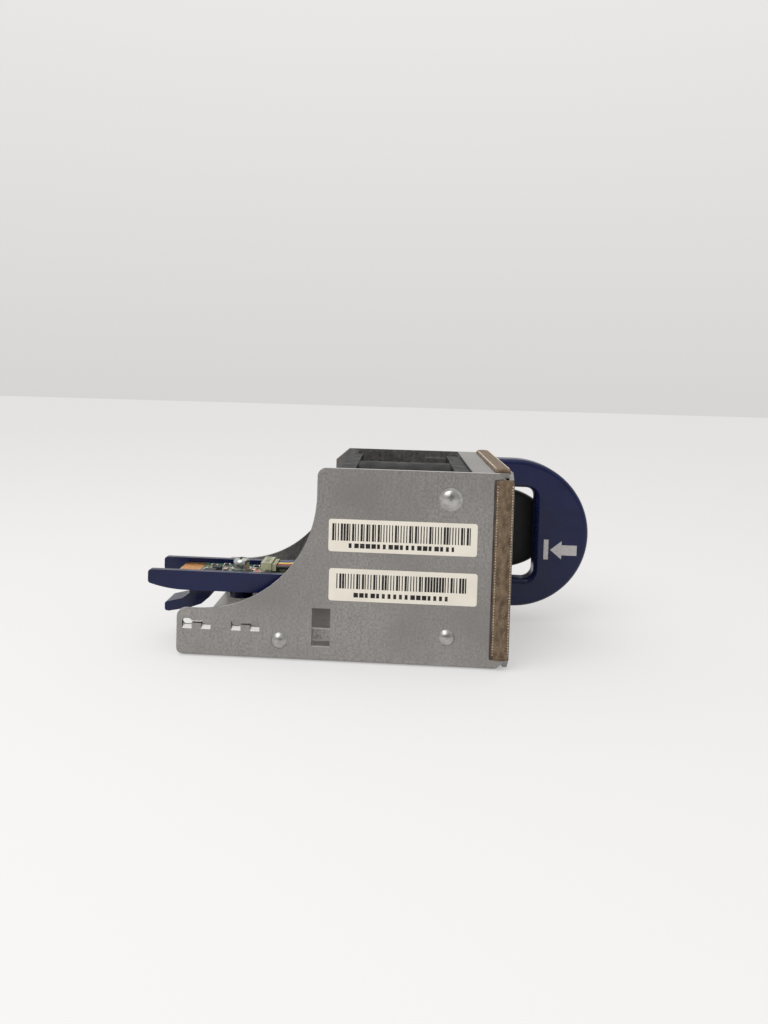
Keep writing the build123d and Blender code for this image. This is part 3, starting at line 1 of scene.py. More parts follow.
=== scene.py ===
"""Switch fan tray: finishes, stickers, sealing strips, board detail and studio for a hot-swap fan module.

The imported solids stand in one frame, in metres: X runs forward to the pull handle, Y from the near wall
with the stickers to the far wall with the latch, and Z up from the surface that the tray stands on.
Places here are in millimetres from the tray's rear lower near corner, and each piece sits on the solid
that carries it.
"""

import json
import math
from types import SimpleNamespace
from typing import NamedTuple

import bmesh
import bpy
import numpy as np
from bpy.props import FloatProperty, FloatVectorProperty, IntProperty, PointerProperty
from mathutils import Matrix, Vector


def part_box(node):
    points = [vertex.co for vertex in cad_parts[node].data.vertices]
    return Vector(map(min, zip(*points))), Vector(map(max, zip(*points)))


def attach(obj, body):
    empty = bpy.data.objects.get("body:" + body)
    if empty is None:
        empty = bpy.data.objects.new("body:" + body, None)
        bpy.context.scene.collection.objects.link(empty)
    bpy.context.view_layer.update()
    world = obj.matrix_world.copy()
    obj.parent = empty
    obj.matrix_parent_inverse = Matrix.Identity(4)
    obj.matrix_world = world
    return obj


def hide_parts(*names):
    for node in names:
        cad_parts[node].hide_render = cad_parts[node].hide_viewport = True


bl_info = {
    "name": "Switch Fan Tray",
    "version": (1, 0, 0),
    "blender": (4, 5, 0),
    "location": "View3D > Sidebar > Fan Tray",
    "description": "Dresses the solids of a hot-swap switch fan tray and builds its studio",
    "category": "Object",
}

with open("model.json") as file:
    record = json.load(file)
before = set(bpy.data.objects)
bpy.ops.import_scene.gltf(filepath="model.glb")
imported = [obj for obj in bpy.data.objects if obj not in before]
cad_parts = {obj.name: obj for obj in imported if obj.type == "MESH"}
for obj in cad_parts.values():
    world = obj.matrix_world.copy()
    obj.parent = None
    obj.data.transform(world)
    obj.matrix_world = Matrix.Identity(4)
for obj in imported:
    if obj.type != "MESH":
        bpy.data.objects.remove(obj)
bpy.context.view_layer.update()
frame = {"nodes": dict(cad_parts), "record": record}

MM = 0.001
TRAY_BODY = "tray_body"
LEVER_BODY = "lever"
CORNER = np.array(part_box("tray")[0])
FULL_TURN = 2 * math.pi
MERGE_DISTANCE = 0.000001
FLAT_DISTANCE = MERGE_DISTANCE / 10
FINISH_ENDING = "_finish"


def box_mm(node):
    """A node's low and high corners in millimetres from the tray's corner."""
    low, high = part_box(node)
    return (np.array(low) - CORNER) / MM, (np.array(high) - CORNER) / MM


TRAY_LOW, TRAY_HIGH = box_mm("tray")
HANDLE_LOW = box_mm("handle")[0]
BOARD_LOW, BOARD_HIGH = box_mm("circuit_board")
WASHER_LOW, WASHER_HIGH = box_mm("board_washer")
HEADER_LOW, HEADER_HIGH = box_mm("board_header")
PLUG_LOW, PLUG_HIGH = box_mm("wire_plug")
SPRING_LOW, SPRING_HIGH = box_mm("lever_spring")
PIN_LOW, PIN_HIGH = box_mm("lever_pin")
BOARD_TOP = BOARD_HIGH[2]

# Parts on the board as (x, y, length, width, height)
CHIPS = ((6.4, 10.0, 1.9, 1.6, 0.9), (18.4, 7.6, 1.6, 1.4, 0.9), (5.4, 7.2, 2.6, 1.6, 0.9))
CAPACITORS = ((8.6, 8.9, 0.9, 1.7, 0.8), (14.9, 9.4, 1.0, 1.8, 0.8), (16.0, 7.4, 1.7, 0.9, 0.8))
RESISTORS = (
    (5.0, 13.6, 1.5, 0.8, 0.45),
    (7.7, 14.6, 1.5, 0.8, 0.45),
    (14.7, 14.2, 1.5, 0.8, 0.45),
    (3.9, 9.4, 0.8, 1.5, 0.45),
)
WIRE_PINS = 4
PIN_PITCH = 1.4

# The sheet's cut edges, in millimetres
SHEET = 1.0
BEND_HEIGHT = 2 * SHEET
EDGE_MARGIN = 0.04
WINDOW_X = (28.9, 33.3)
WINDOW_Z = (3.0, 11.8)
BRIDGE_DEPTH = 2.6
EYES_X = (0.6, 18.6)
EYES_Z = (5.6, 9.2)
FACING_LIMIT = 0.3


class Grain(NamedTuple):
    """Fractal noise: its patches' width in millimetres, its detail, and its stretch along X, Y and Z."""

    cell: float
    detail: float = 3.0
    stretch: tuple = (1, 1, 1)


class Recipe(NamedTuple):
    """A finish whose shade, gloss and relief each follow a grain; the depth is in millimetres."""

    colour: tuple
    roughness: float
    patches: Grain
    shades: tuple
    shade_limits: tuple = (0.35, 0.65)
    gloss: Grain = None
    roughnesses: tuple = None
    relief: Grain = None
    depth: float = 0.0
    metallic: float = 0.0
    coat: float = 0.0
    specular: float = 0.5
    subsurface: float = 0.0


class Bands(NamedTuple):
    """A metal striped along the fan's axis at a pitch in millimetres, like stacked sheets or laid wire,
    darker in the grooves as painted shade.
    """

    colour: tuple
    roughness: float
    metallic: float
    coat: float
    pitch: float
    shades: tuple
    wave_limits: tuple
    depth: float


def moulded(colour, roughness):
    """A moulded plastic: faint flow marks, a little uneven gloss and a fine grain."""
    return Recipe(
        colour,
        roughness,
        Grain(6.0, stretch=(2.5, 1, 1)),
        (0.86, 1.18),
        gloss=Grain(2.5, 4.0),
        roughnesses=(0.85 * roughness, 1.2 * roughness),
        relief=Grain(0.35),
        depth=0.012,
        specular=0.35,
    )


def bright_metal(colour, roughness):
    """A plated or ground metal: small patches of uneven polish and a fine grain."""
    return Recipe(
        colour,
        roughness,
        Grain(1.2),
        (0.86, 1.10),
        gloss=Grain(0.8, 4.0),
        roughnesses=(0.7 * roughness, 1.4 * roughness),
        relief=Grain(0.4, 2.0),
        depth=0.006,
        metallic=1.0,
    )


def fired_ceramic(colour):
    """A small part's fired body, a little uneven in shade."""
    return Recipe(colour, 0.42, Grain(0.3), (0.82, 1.15), relief=Grain(0.1, 2.0), depth=0.004)


def wire_sheath(colour):
    """A wire's soft sheath, with a waxy gloss and a faint grain."""
    return Recipe(colour, 0.38, Grain(0.9), (0.85, 1.12), relief=Grain(0.3, 2.0), depth=0.008, coat=0.15)


RECIPES = {
    "navy_moulding": moulded((0.0042, 0.0080, 0.050), 0.27),
    "black_moulding": moulded((0.006, 0.006, 0.007), 0.40),
    "rivet_steel": bright_metal((0.46, 0.45, 0.44), 0.34),
    "plated_screw": bright_metal((0.56, 0.58, 0.55), 0.28),
    "shaft_steel": bright_metal((0.58, 0.59, 0.60), 0.18),
    "solder": bright_metal((0.58, 0.57, 0.54), 0.28),
    "capacitor_tan": fired_ceramic((0.50, 0.15, 0.11)),
    "resistor_black": fired_ceramic((0.035, 0.033, 0.036)),
    "wire_black": wire_sheath((0.018, 0.017, 0.018)),
    "wire_red": wire_sheath((0.30, 0.022, 0.016)),
    "wire_yellow": wire_sheath((0.66, 0.50, 0.09)),
    "wire_blue": wire_sheath((0.020, 0.045, 0.16)),
    # The fan's glass-filled plastic shimmers faintly along its fibres.
    "fan_plastic": Recipe(
        (0.005, 0.0048, 0.0052),
        0.36,
        Grain(0.5, 4.0, (4, 1, 1)),
        (0.80, 1.30),
        gloss=Grain(3.0),
        roughnesses=(0.42, 0.58),
        relief=Grain(0.25, 2.0),
        depth=0.006,
        specular=0.2,
    ),
    # Oiled spring wire has drawing lines along it.
    "spring_steel": Recipe(
        (0.36, 0.36, 0.37),
        0.30,
        Grain(0.6, 3.0, (5, 1, 1)),
        (0.75, 1.2),
        relief=Grain(0.12, 2.0, (8, 1, 1)),
        depth=0.004,
        metallic=1.0,
    ),
    # The gold is rubbed in lines from being plugged in.
    "gold_contact": Recipe(
        (0.95, 0.42, 0.10),
        0.30,
        Grain(0.35, 3.0, (9, 1, 1)),
        (0.82, 1.12),
        gloss=Grain(0.2, 3.0, (12, 1, 1)),
        roughnesses=(0.18, 0.40),
        metallic=1.0,
    ),
    # Natural nylon is warm and lets a little light in.
    "white_nylon": Recipe(
        (0.42, 0.42, 0.27),
        0.42,
        Grain(1.5),
        (0.85, 1.1),
        relief=Grain(0.3, 2.0),
        depth=0.008,
        subsurface=0.12,
    ),
    "chip_black": Recipe(
        (0.020, 0.020, 0.022), 0.52, Grain(0.15), (0.7, 1.5), relief=Grain(0.08, 2.0), depth=0.005
    ),
    "magnet_ferrite": Recipe(
        (0.060, 0.058, 0.062), 0.62, Grain(0.3, 4.0), (0.7, 1.3), relief=Grain(0.2), depth=0.01
    ),
    # Painted glints: the beads along the strips' edges are coloured bright for the cloth's metal threads
    # catching light
    "bright_thread": Recipe((0.90, 0.76, 0.60), 0.30, Grain(0.7, 2.0), (0.45, 1.1), metallic=0.2),
    # Partly painted shade: the dark backing tape stands for the shadow in the gap behind the side strips
    "backing_tape": Recipe((0.055, 0.045, 0.042), 0.55, Grain(0.8, 3.0, (1, 1, 4)), (0.6, 1.6)),
    # Both prints are thin in places.
    "handle_print": Recipe(
        (0.52, 0.50, 0.50), 0.55, Grain(0.4, 4.0), (0.80, 1.08), shade_limits=(0.3, 0.5)
    ),
    "board_print": Recipe((0.62, 0.62, 0.58), 0.5, Grain(0.25), (0.75, 1.08)),
}
BANDED = {
    "laminated_iron": Bands((0.24, 0.25, 0.27), 0.42, 1.0, 0.0, 0.5, (0.6, 1.15), (-0.9, 0.4), 0.02),
    "copper_winding": Bands((0.58, 0.22, 0.08), 0.26, 0.9, 0.4, 0.3, (0.45, 1.1), (-0.9, 0.3), 0.05),
}
NOISE_RANGE = (0.3, 0.7)
NYLON_SCATTER = (0.001, 0.0008, 0.0005)

SHEET_COLOUR = (0.345, 0.33, 0.318)
SHEET_GRAIN = Grain(0.42, 3.0, (1, 1, 1.4))
SHEET_STREAKS = Grain(1.1, 4.0, (1, 1, 3.5))
SHEET_CLOUDS = Grain(9.0)
SHEET_SMUDGES = Grain(18.0, 4.0)
SHEET_ROLLING = Grain(0.30, 4.0, (1, 1, 6))
# Painted highlight: the walls' cut edges get this lighter colour, as if lamp light caught them
EDGE_HIGHLIGHT_COLOUR = (0.62, 0.605, 0.59)

CLOTH_COLOUR = (0.185, 0.130, 0.083)
CLOTH_THREAD = 0.26
CLOTH_PATCHES = Grain(1.0, 4.0, (1, 1, 2))

LAMINATE_COLOUR = (0.035, 0.10, 0.060)
# The brick texture's sizes for the copper's runs, in millimetres
COPPER_RUNS = (("Mortar Size", 0.05), ("Brick Width", 1.7), ("Row Height", 0.42))
BRONZE_COLOUR = (0.46, 0.29, 0.14)
FLOOR_COLOUR = (0.80, 0.79, 0.78)
FLOOR_GLOW = (0.86, 0.855, 0.85)
FLOOR_GLOW_SHARE = 0.45


class Pattern(NamedTuple):
    """A sticker's made-up pattern: a random seed, and spans in millimetres from the lower left corner."""

    seed: float
    bar_margins: tuple
    bar_band: tuple
    dash_span: tuple


UPPER_PATTERN = Pattern(3.0, (0.75, 1.15), (2.35, 6.0), (4.3, 26.4))
LOWER_PATTERN = Pattern(41.0, (1.6, 2.3), (2.65, 5.85), (5.3, 25.1))
DASH_BAND = (0.85, 1.85)
DASH_SEED_STEP = 0.5
BAR_SHARES = (0.38, 0.78)
DASH_SHARES = (0.52, 0.80)
THICK_LIMIT = 0.55


class Lump(NamedTuple):
    """A rounded block: half its sides in millimetres, how square it is, and its rows and columns."""

    half: tuple
    power: float
    rows: int = 5
    columns: int = 8


CHIP_LEG = Lump((0.14, 0.30, 0.09), 5.0)
LEG_RISE = 0.08
LEG_REACH = 0.12
CAP_SWELL = 0.03
CAP_POWER = 9.0
VIA_HALF_HEIGHT = 0.03
PAD_HALF_HEIGHT = 0.04
PAD_POWER = 2.5
PRINT_HEIGHT = 0.02
PIN_FILLET = Lump((0.35, 0.26, 0.16), 2.6, columns=10)
FILLET_SETBACK = 0.2
TAB_FILLET = Lump((0.6, 0.32, 0.28), 3.0, columns=10)
# Painted shade: thin dark patches for the openings of the header's contact windows
PLUG_WINDOW_SHADE = Lump((0.55, 0.24, 0.02), 6.0, columns=12)
RIB_POWER = 5.0
RIB_HALF_LENGTH = 0.11
RIB_HALF_HEIGHT = 0.10
RIB_INSET = 0.35
RIB_PITCH = 0.42
RIB_SIDE_INSET = 0.3

# Vias and pads: the seeds of their random places, and the room left round them in millimetres
VIA_SEED = 7
PAD_SEED = 19
VIA_MARGIN = 0.1
TRIES_PER_PLACE = 8
CONTACT_ROOM = 5.3
NEAR_ROOM = 0.6
FAR_ROOM = 0.5
PART_ROOM_X = 0.4
PART_ROOM_Y = 0.7
WASHER_ROOM = 0.25
HEADER_ROOM = 0.3
WIRE_ROOM = np.array([1.2, 0.0])

# Each sealing strip as its solid, the axis it runs along, and the axis and sign that its crown faces
STRIPS = (
    ("gasket_near", 2, (1, -1)),
    ("gasket_far", 2, (1, 1)),
    ("gasket_top", 1, (2, 1)),
    ("gasket_bottom", 1, (2, -1)),
)
SIDE_STRIPS = ("gasket_near", "gasket_far")
STRIP_ROWS = 120
STRIP_COLUMNS = 28
STRIP_POWER = 3
END_POWER = 40
END_ROUND_SHARE = 1 / 6
SWELL_WAVES = ((9.3, 0.6), (23.0, 1.9))
BARE_STITCHES = 3
STITCH_WIDTH_SHARE = 0.9
STITCH_POWER = 2.0
TAPE_CORNER = 0.3
RIM_INSET_SHARE = 0.09
RIM_DEPTH_SHARE = 0.3
PLATE_COLUMNS = 32

SPRING_STEPS = 150
LEG_POINTS = 11
WIRE_COLUMNS = 10

PICTURE_WIDTH = 768
PICTURE_HEIGHT = 1024
SENSOR = 36.0
FLOOR_HALF = 1.5
FLOOR_DROP = 0.1 * MM
# The surroundings as the range of a direction's part, and the brightness at its two ends
SKY_HEIGHTS, SKY_LEVELS = (-0.2, 1.0), (0.62, 1.0)
BEHIND_DEPTHS, BEHIND_LEVELS = (-1.0, 0.1), (0.28, 1.0)
DAYLIGHT = (1.0, 0.99, 0.975)


def a_length(name, description, millimetres):
    """A length that is kept in metres, as Blender's are, and given here in millimetres."""
    return FloatProperty(
        name=name, description=description, default=millimetres * MM, min=0, unit="LENGTH", precision=6
    )


def a_colour(name, description, shade):
    """A colour in linear red, green and blue."""
    return FloatVectorProperty(
        name=name, description=description, default=shade, size=3, subtype="COLOR", min=0, max=1
    )


def an_angle(name, description, radians):
    """An angle in radians."""
    return FloatProperty(name=name, description=description, default=radians, subtype="ANGLE")


def a_place(name, description, metres):
    """A place in metres."""
    return FloatVectorProperty(
        name=name, description=description, default=metres, size=3, subtype="TRANSLATION", unit="LENGTH"
    )


def a_number(name, description, value, subtype="NONE", low=0):
    """A plain number, with a subtype where one fits."""
    return FloatProperty(name=name, description=description, default=value, subtype=subtype, min=low)


class StickerSizes(bpy.types.PropertyGroup):
    """The two stickers on the near wall."""

    length: a_length("Length", "Along the wall", 31.2)
    height: a_length("Height", "Up the wall", 6.9)
    thickness: a_length("Thickness", "Paper and adhesive", 0.12)
    corner: a_length("Corner radius", "Of the die-cut corners", 0.55)
    upper_x: a_length("Upper place", "Rear edge of the upper sticker", 32.3)
    upper_z: a_length("Upper height", "Lower edge of the upper sticker", 23.9)
    lower_x: a_length("Lower place", "Rear edge of the lower sticker", 32.6)
    lower_z: a_length("Lower height", "Lower edge of the lower sticker", 13.4)
    bar_pitch: a_length("Bar pitch", "Between the left sides of bars", 0.60)
    dash_pitch: a_length("Dash pitch", "Between the left sides of the dashes below the bars", 1.2)
    paper: a_colour("Paper", "The stickers' face", (0.93, 0.875, 0.77))
    ink: a_colour("Ink", "The bars and dashes", (0.016, 0.014, 0.015))


class StripSizes(bpy.types.PropertyGroup):
    """The sealing strips round the mouth."""

    # The bright stitches are beads coloured as painted glints of the cloth's metal threads
    thread_pitch: a_length("Thread pitch", "Between bright stitches", 0.58)
    thread_inset: a_length("Thread inset", "From the strip's long edges to the stitches", 0.34)
    stitch: a_length("Stitch size", "Half the length of one stitch", 0.15)
    overhang: a_length("Overhang", "How far the side strips reach forward of their solids", 0.38)
    # The backing tape's dark colour is painted shade of the gap behind a side strip
    tape_margin: a_length("Tape margin", "Backing tape seen behind a side strip", 0.3)
    tape_thickness: a_length("Tape thickness", "Of the backing tape", 0.12)
    swell: a_number("Swell", "Share of the height by which the foam rises and sinks", 0.0016, "FACTOR")


class PictogramSizes(bpy.types.PropertyGroup):
    """The arrow and the bar on the handle."""

    bar_rear: a_length("Bar's rear", "Rear edge of the bar", 83.35)
    bar_width: a_length("Bar width", "Along the handle", 1.15)
    bar_low: a_length("Bar's foot", "Lower edge of the bar", 16.45)
    bar_height: a_length("Bar height", "Up the handle", 5.0)
    tip: a_length("Arrow's tip", "Point of the arrow", 84.95)
    middle: a_length("Arrow's height", "Middle line of the arrow", 18.9)
    head_length: a_length("Head length", "From the tip to the shaft", 2.8)
    head_height: a_length("Head height", "Across the head", 4.6)
    shaft_length: a_length("Shaft length", "From the head to the tail", 3.75)
    shaft_height: a_length("Shaft height", "Across the shaft", 2.56)
    ink_height: a_length("Ink height", "How far the print stands out", 0.03)


class BoardSizes(bpy.types.PropertyGroup):
    """Small metal detail and print on the circuit board."""

    via_count: IntProperty(name="Vias", description="Plated holes on the board", default=46, min=0)
    via_radius: a_length("Via radius", "Outside of a via's ring", 0.22)
    pad_count: IntProperty(name="Pads", description="Bare test pads", default=7, min=0)
    pad_radius: a_length("Pad radius", "Of the bare test pads", 0.42)
    legs_per_side: IntProperty(name="Legs", description="On each long side of a chip", default=3, min=1)
    cap_length: a_length("End cap", "Plated end of a small part", 0.32)
    line: a_length("Print line", "Width of the printed outlines", 0.13)
    part_margin: a_length("Part margin", "From a part to its outline", 0.12)
    leg_margin: a_length("Leg margin", "From a chip to the outline past its legs", 0.5)


class SpringSizes(bpy.types.PropertyGroup):
    """The lever's torsion spring."""

    wire: a_length("Wire", "Diameter of the wire", 0.5)
    turns: a_number("Turns", "Round the pin", 3.4, low=1)


class FinishColours(bpy.types.PropertyGroup):
    """The colours of the main finishes, each with its finish's name."""

    galvanised_sheet: a_colour("Sheet", "Zinc-plated steel of the tray and its face", SHEET_COLOUR)
    navy_moulding: a_colour("Moulding", "Pull handle and board carrier", RECIPES["navy_moulding"].colour)
    black_moulding: a_colour("Lever", "Release lever", RECIPES["black_moulding"].colour)
    fan_plastic: a_colour("Fan", "Fan housing and rotor", RECIPES["fan_plastic"].colour)
    gasket_fabric: a_colour("Cloth", "Sleeve of the sealing strips", CLOTH_COLOUR)
    # Painted glints: the colour of the bright beads along the strips
    bright_thread: a_colour("Thread", "Stitches along the sealing strips", RECIPES["bright_thread"].colour)
    handle_print: a_colour("Print", "Pictogram on the handle", RECIPES["handle_print"].colour)


class StageSettings(bpy.types.PropertyGroup):
    """The studio: camera, lamp and surroundings."""

    focal_px: a_number("Focal length", "In pixels of a picture 1024 high", 807.35, "PIXEL", low=1)
    centre_x: a_number("Centre across", "Where the lens points, from the left", 350.5, "PIXEL")
    centre_y: a_number("Centre down", "Where the lens points, from the top", 413.1, "PIXEL")
    camera_place: a_place("Camera", "From the tray's corner", (0.047005, -0.168623, 0.06079))
    yaw: an_angle("Yaw", "Turned left from looking along Y", 0.06372)
    pitch: an_angle("Pitch", "Tipped down from level", 0.04484)
    roll: an_angle("Roll", "Tilted about the line of sight", -0.02660)
    world_level: a_number("World level", "Light on matt surfaces", 0.98, "FACTOR")
    key_watts: a_number("Key lamp", "Its power", 0.85, "POWER")
    key_size: a_length("Key lamp's size", "Side of the square lamp", 300)
    key_place: a_place("Key lamp's place", "From the middle of the footprint", (-0.16, -0.24, 0.36))


def in_millimetres(group):
    """A group's values by name, with its lengths in millimetres."""
    values = {}
    for row in group.bl_rna.properties:
        value = getattr(group, row.identifier)
        values[row.identifier] = value / MM if row.unit == "LENGTH" else value
    return SimpleNamespace(**values)


def grid_faces(rows, columns, wrap_rows):
    """Quads between neighbouring points of a grid whose columns join up round it, and whose rows may."""
    first_rows = np.arange(rows if wrap_rows else rows - 1)
    row, column = np.meshgrid(first_rows, np.arange(columns), indexing="ij")
    next_row = (row + 1) % rows
    next_column = (column + 1) % columns
    corners = [row * columns + column, row * columns + next_column]
    corners += [next_row * columns + next_column, next_row * columns + column]
    return np.stack(corners, axis=-1).reshape(-1, 4)


def close_mesh(mesh):
    """Merge the seams and poles of a mesh and point its faces outwards."""
    work = bmesh.new()
    work.from_mesh(mesh)
    bmesh.ops.remove_doubles(work, verts=work.verts, dist=MERGE_DISTANCE)
    bmesh.ops.dissolve_degenerate(work, edges=work.edges, dist=FLAT_DISTANCE)
    bmesh.ops.recalc_face_normals(work, faces=work.faces)
    work.to_mesh(mesh)
    work.free()


def flat_uv(mesh, across, up):
    """A UV map in millimetres from the piece's low corner: one axis across, one up."""
    points = np.empty(len(mesh.vertices) * 3)
    mesh.vertices.foreach_get("co", points)
    points = points.reshape(-1, 3) / MM
    corner_vertices = np.empty(len(mesh.loops), dtype=np.int32)
    mesh.loops.foreach_get("vertex_index", corner_vertices)
    flat = (points - points.min(axis=0))[:, [across, up]]
    mesh.uv_layers.new(name="surface").data.foreach_set("uv", flat[corner_vertices].ravel())


def piece(name, grids, finish, body, smooth=True, uv_axes=None, wrap_rows=False):
    """An object from grids in millimetres, (count, rows, columns, 3), closed and riding on a body."""
    grids = np.asarray(grids, float)
    if grids.ndim == 3:
        grids = grids[None, ...]
    count, rows, columns, _ = grids.shape
    offsets = np.arange(count)[:, None, None] * rows * columns
    faces = (grid_faces(rows, columns, wrap_rows)[None, ...] + offsets).reshape(-1, 4)
    points = grids.reshape(-1, 3)
    return piece_from_faces(name, points, faces.tolist(), finish, body, smooth, uv_axes)


def piece_from_faces(name, points, faces, finish, body, smooth, uv_axes=None):
    """An object from points in millimetres and faces, closed and riding on a body."""
    mesh = bpy.data.meshes.new(name)
    mesh.from_pydata((CORNER + np.asarray(points) * MM).tolist(), [], faces)
    close_mesh(mesh)
    mesh.polygons.foreach_set("use_smooth", [smooth] * len(mesh.polygons))
    if uv_axes:
        flat_uv(mesh, *uv_axes)
    made = bpy.data.objects.new(name, mesh)
    bpy.context.scene.collection.objects.link(made)
    made.data.materials.append(finish)
    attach(made, body)
    return made


def half_steps(count):
    """Angles round a full turn, each in the middle of its step, so that none lies on an axis."""
    return (np.arange(count) + 0.5) * FULL_TURN / count


def signed_power(value, power):
    """The size of a value raised to a power, with the value's own sign."""
    return np.sign(value) * np.abs(value) ** power


def lump_grid(lump):
    """A superellipsoid: a sphere's sines and cosines raised to 2 / power, times half the sides."""
    rises = np.linspace(-math.pi / 2, math.pi / 2, lump.rows)
    rise, turn = np.meshgrid(rises, half_steps(lump.columns), indexing="ij")
    share = 2 / lump.power
    across = signed_power(np.cos(rise), share)
    unit = [across * signed_power(np.cos(turn), share), across * signed_power(np.sin(turn), share)]
    unit.append(signed_power(np.sin(rise), share))
    return np.stack(unit, axis=-1) * np.asarray(lump.half)


def lumps(name, lump, places, finish):
    """One piece of equal lumps, a copy of the grid moved to each place."""
    grids = lump_grid(lump)[None, ...] + np.asarray(places, float)[:, None, None, :]
    return piece(name, grids, finish, TRAY_BODY)


def plate(centre, length, height, thickness, corner):
    """A thin plate on a wall that faces -Y, with round corners and a softened front rim.

    Each ring is a circle of the corner radius, moved out by the half sides less that radius, by the signs
    of its two parts. The rings' shares run from the front's middle over the rim and the back's edge to the
    back's middle.
    """
    turn = half_steps(PLATE_COLUMNS)
    along = np.cos(turn) * corner + np.sign(np.cos(turn)) * (length / 2 - corner)
    up = np.sin(turn) * corner + np.sign(np.sin(turn)) * (height / 2 - corner)
    ring_shares = np.array([0.0, 1 - 2 * RIM_INSET_SHARE * thickness / height, 1.0, 1.0, 0.0])
    depth_shares = np.array([1.0, 1.0, 1.0 - RIM_DEPTH_SHARE, 0.0, 0.0])
    points = np.zeros((len(ring_shares), PLATE_COLUMNS, 3))
    points[..., 0] = centre[0] + ring_shares[:, None] * along
    points[..., 1] = centre[1] - (depth_shares * thickness)[:, None]
    points[..., 2] = centre[2] + ring_shares[:, None] * up
    return points


class NodeTree:
    """Makes and joins the nodes of a material or of the world."""

    def __init__(self, tree):
        self.nodes, self.links = tree.nodes, tree.links

    def fill(self, socket, value):
        """Set a socket to a number or a colour, or let a node's output drive it."""
        if isinstance(value, bpy.types.NodeSocket):
            self.links.new(value, socket)
        else:
            socket.default_value = (*value, 1) if isinstance(value, tuple) else value

    def calculate(self, operation, first, second=0.0):
        """One sum on two values, each a node's output or a number."""
        node = self.nodes.new("ShaderNodeMath")
        node.operation = operation
        self.fill(node.inputs[0], first)
        self.fill(node.inputs[1], second)
        return node.outputs["Value"]

    def both(self, first, *others):
        """The product of all the values: 1 where every mask is 1."""
        for other in others:
            first = self.calculate("MULTIPLY", first, other)
        return first

    def either(self, first, *others):
        """The largest of all the values: 1 where any mask is 1."""
        for other in others:
            first = self.calculate("MAXIMUM", first, other)
        return first

    def between(self, value, low, high):
        """1 where a value lies between two limits."""
        above = self.calculate("GREATER_THAN", value, low)
        return self.both(above, self.calculate("LESS_THAN", value, high))

    def spread(self, value, limits, results):
        """The range of a value between two limits, carried onto the range between two results."""
        node = self.nodes.new("ShaderNodeMapRange")
        self.links.new(value, node.inputs["Value"])
        for socket, number in zip(("From Min", "From Max", "To Min", "To Max"), (*limits, *results)):
            node.inputs[socket].default_value = number
        return node.outputs["Result"]

    def choose(self, share, first, second):
        """The first of two values where the share is 0, and the second where it is 1."""
        node = self.nodes.new("ShaderNodeMix")
        for socket, value in zip((0, 2, 3), (share, first, second)):
            self.fill(node.inputs[socket], value)
        return node.outputs[0]

    def tint(self, share, first, second):
        """A mix of two colours, each a node's output or a triple."""
        node = self.nodes.new("ShaderNodeMix")
        node.data_type = "RGBA"
        for socket, value in zip((0, 6, 7), (share, first, second)):
            self.fill(node.inputs[socket], value)
        return node.outputs[2]

    def axis(self, source, name):
        """One part of a vector."""
        node = self.nodes.new("ShaderNodeSeparateXYZ")
        self.links.new(source, node.inputs["Vector"])
        return node.outputs[name]

    def seen_directly(self):
        """1 for camera, glossy and transmission rays."""
        rays = self.nodes.new("ShaderNodeLightPath").outputs
        return self.either(rays["Is Camera Ray"], rays["Is Glossy Ray"], rays["Is Transmission Ray"])


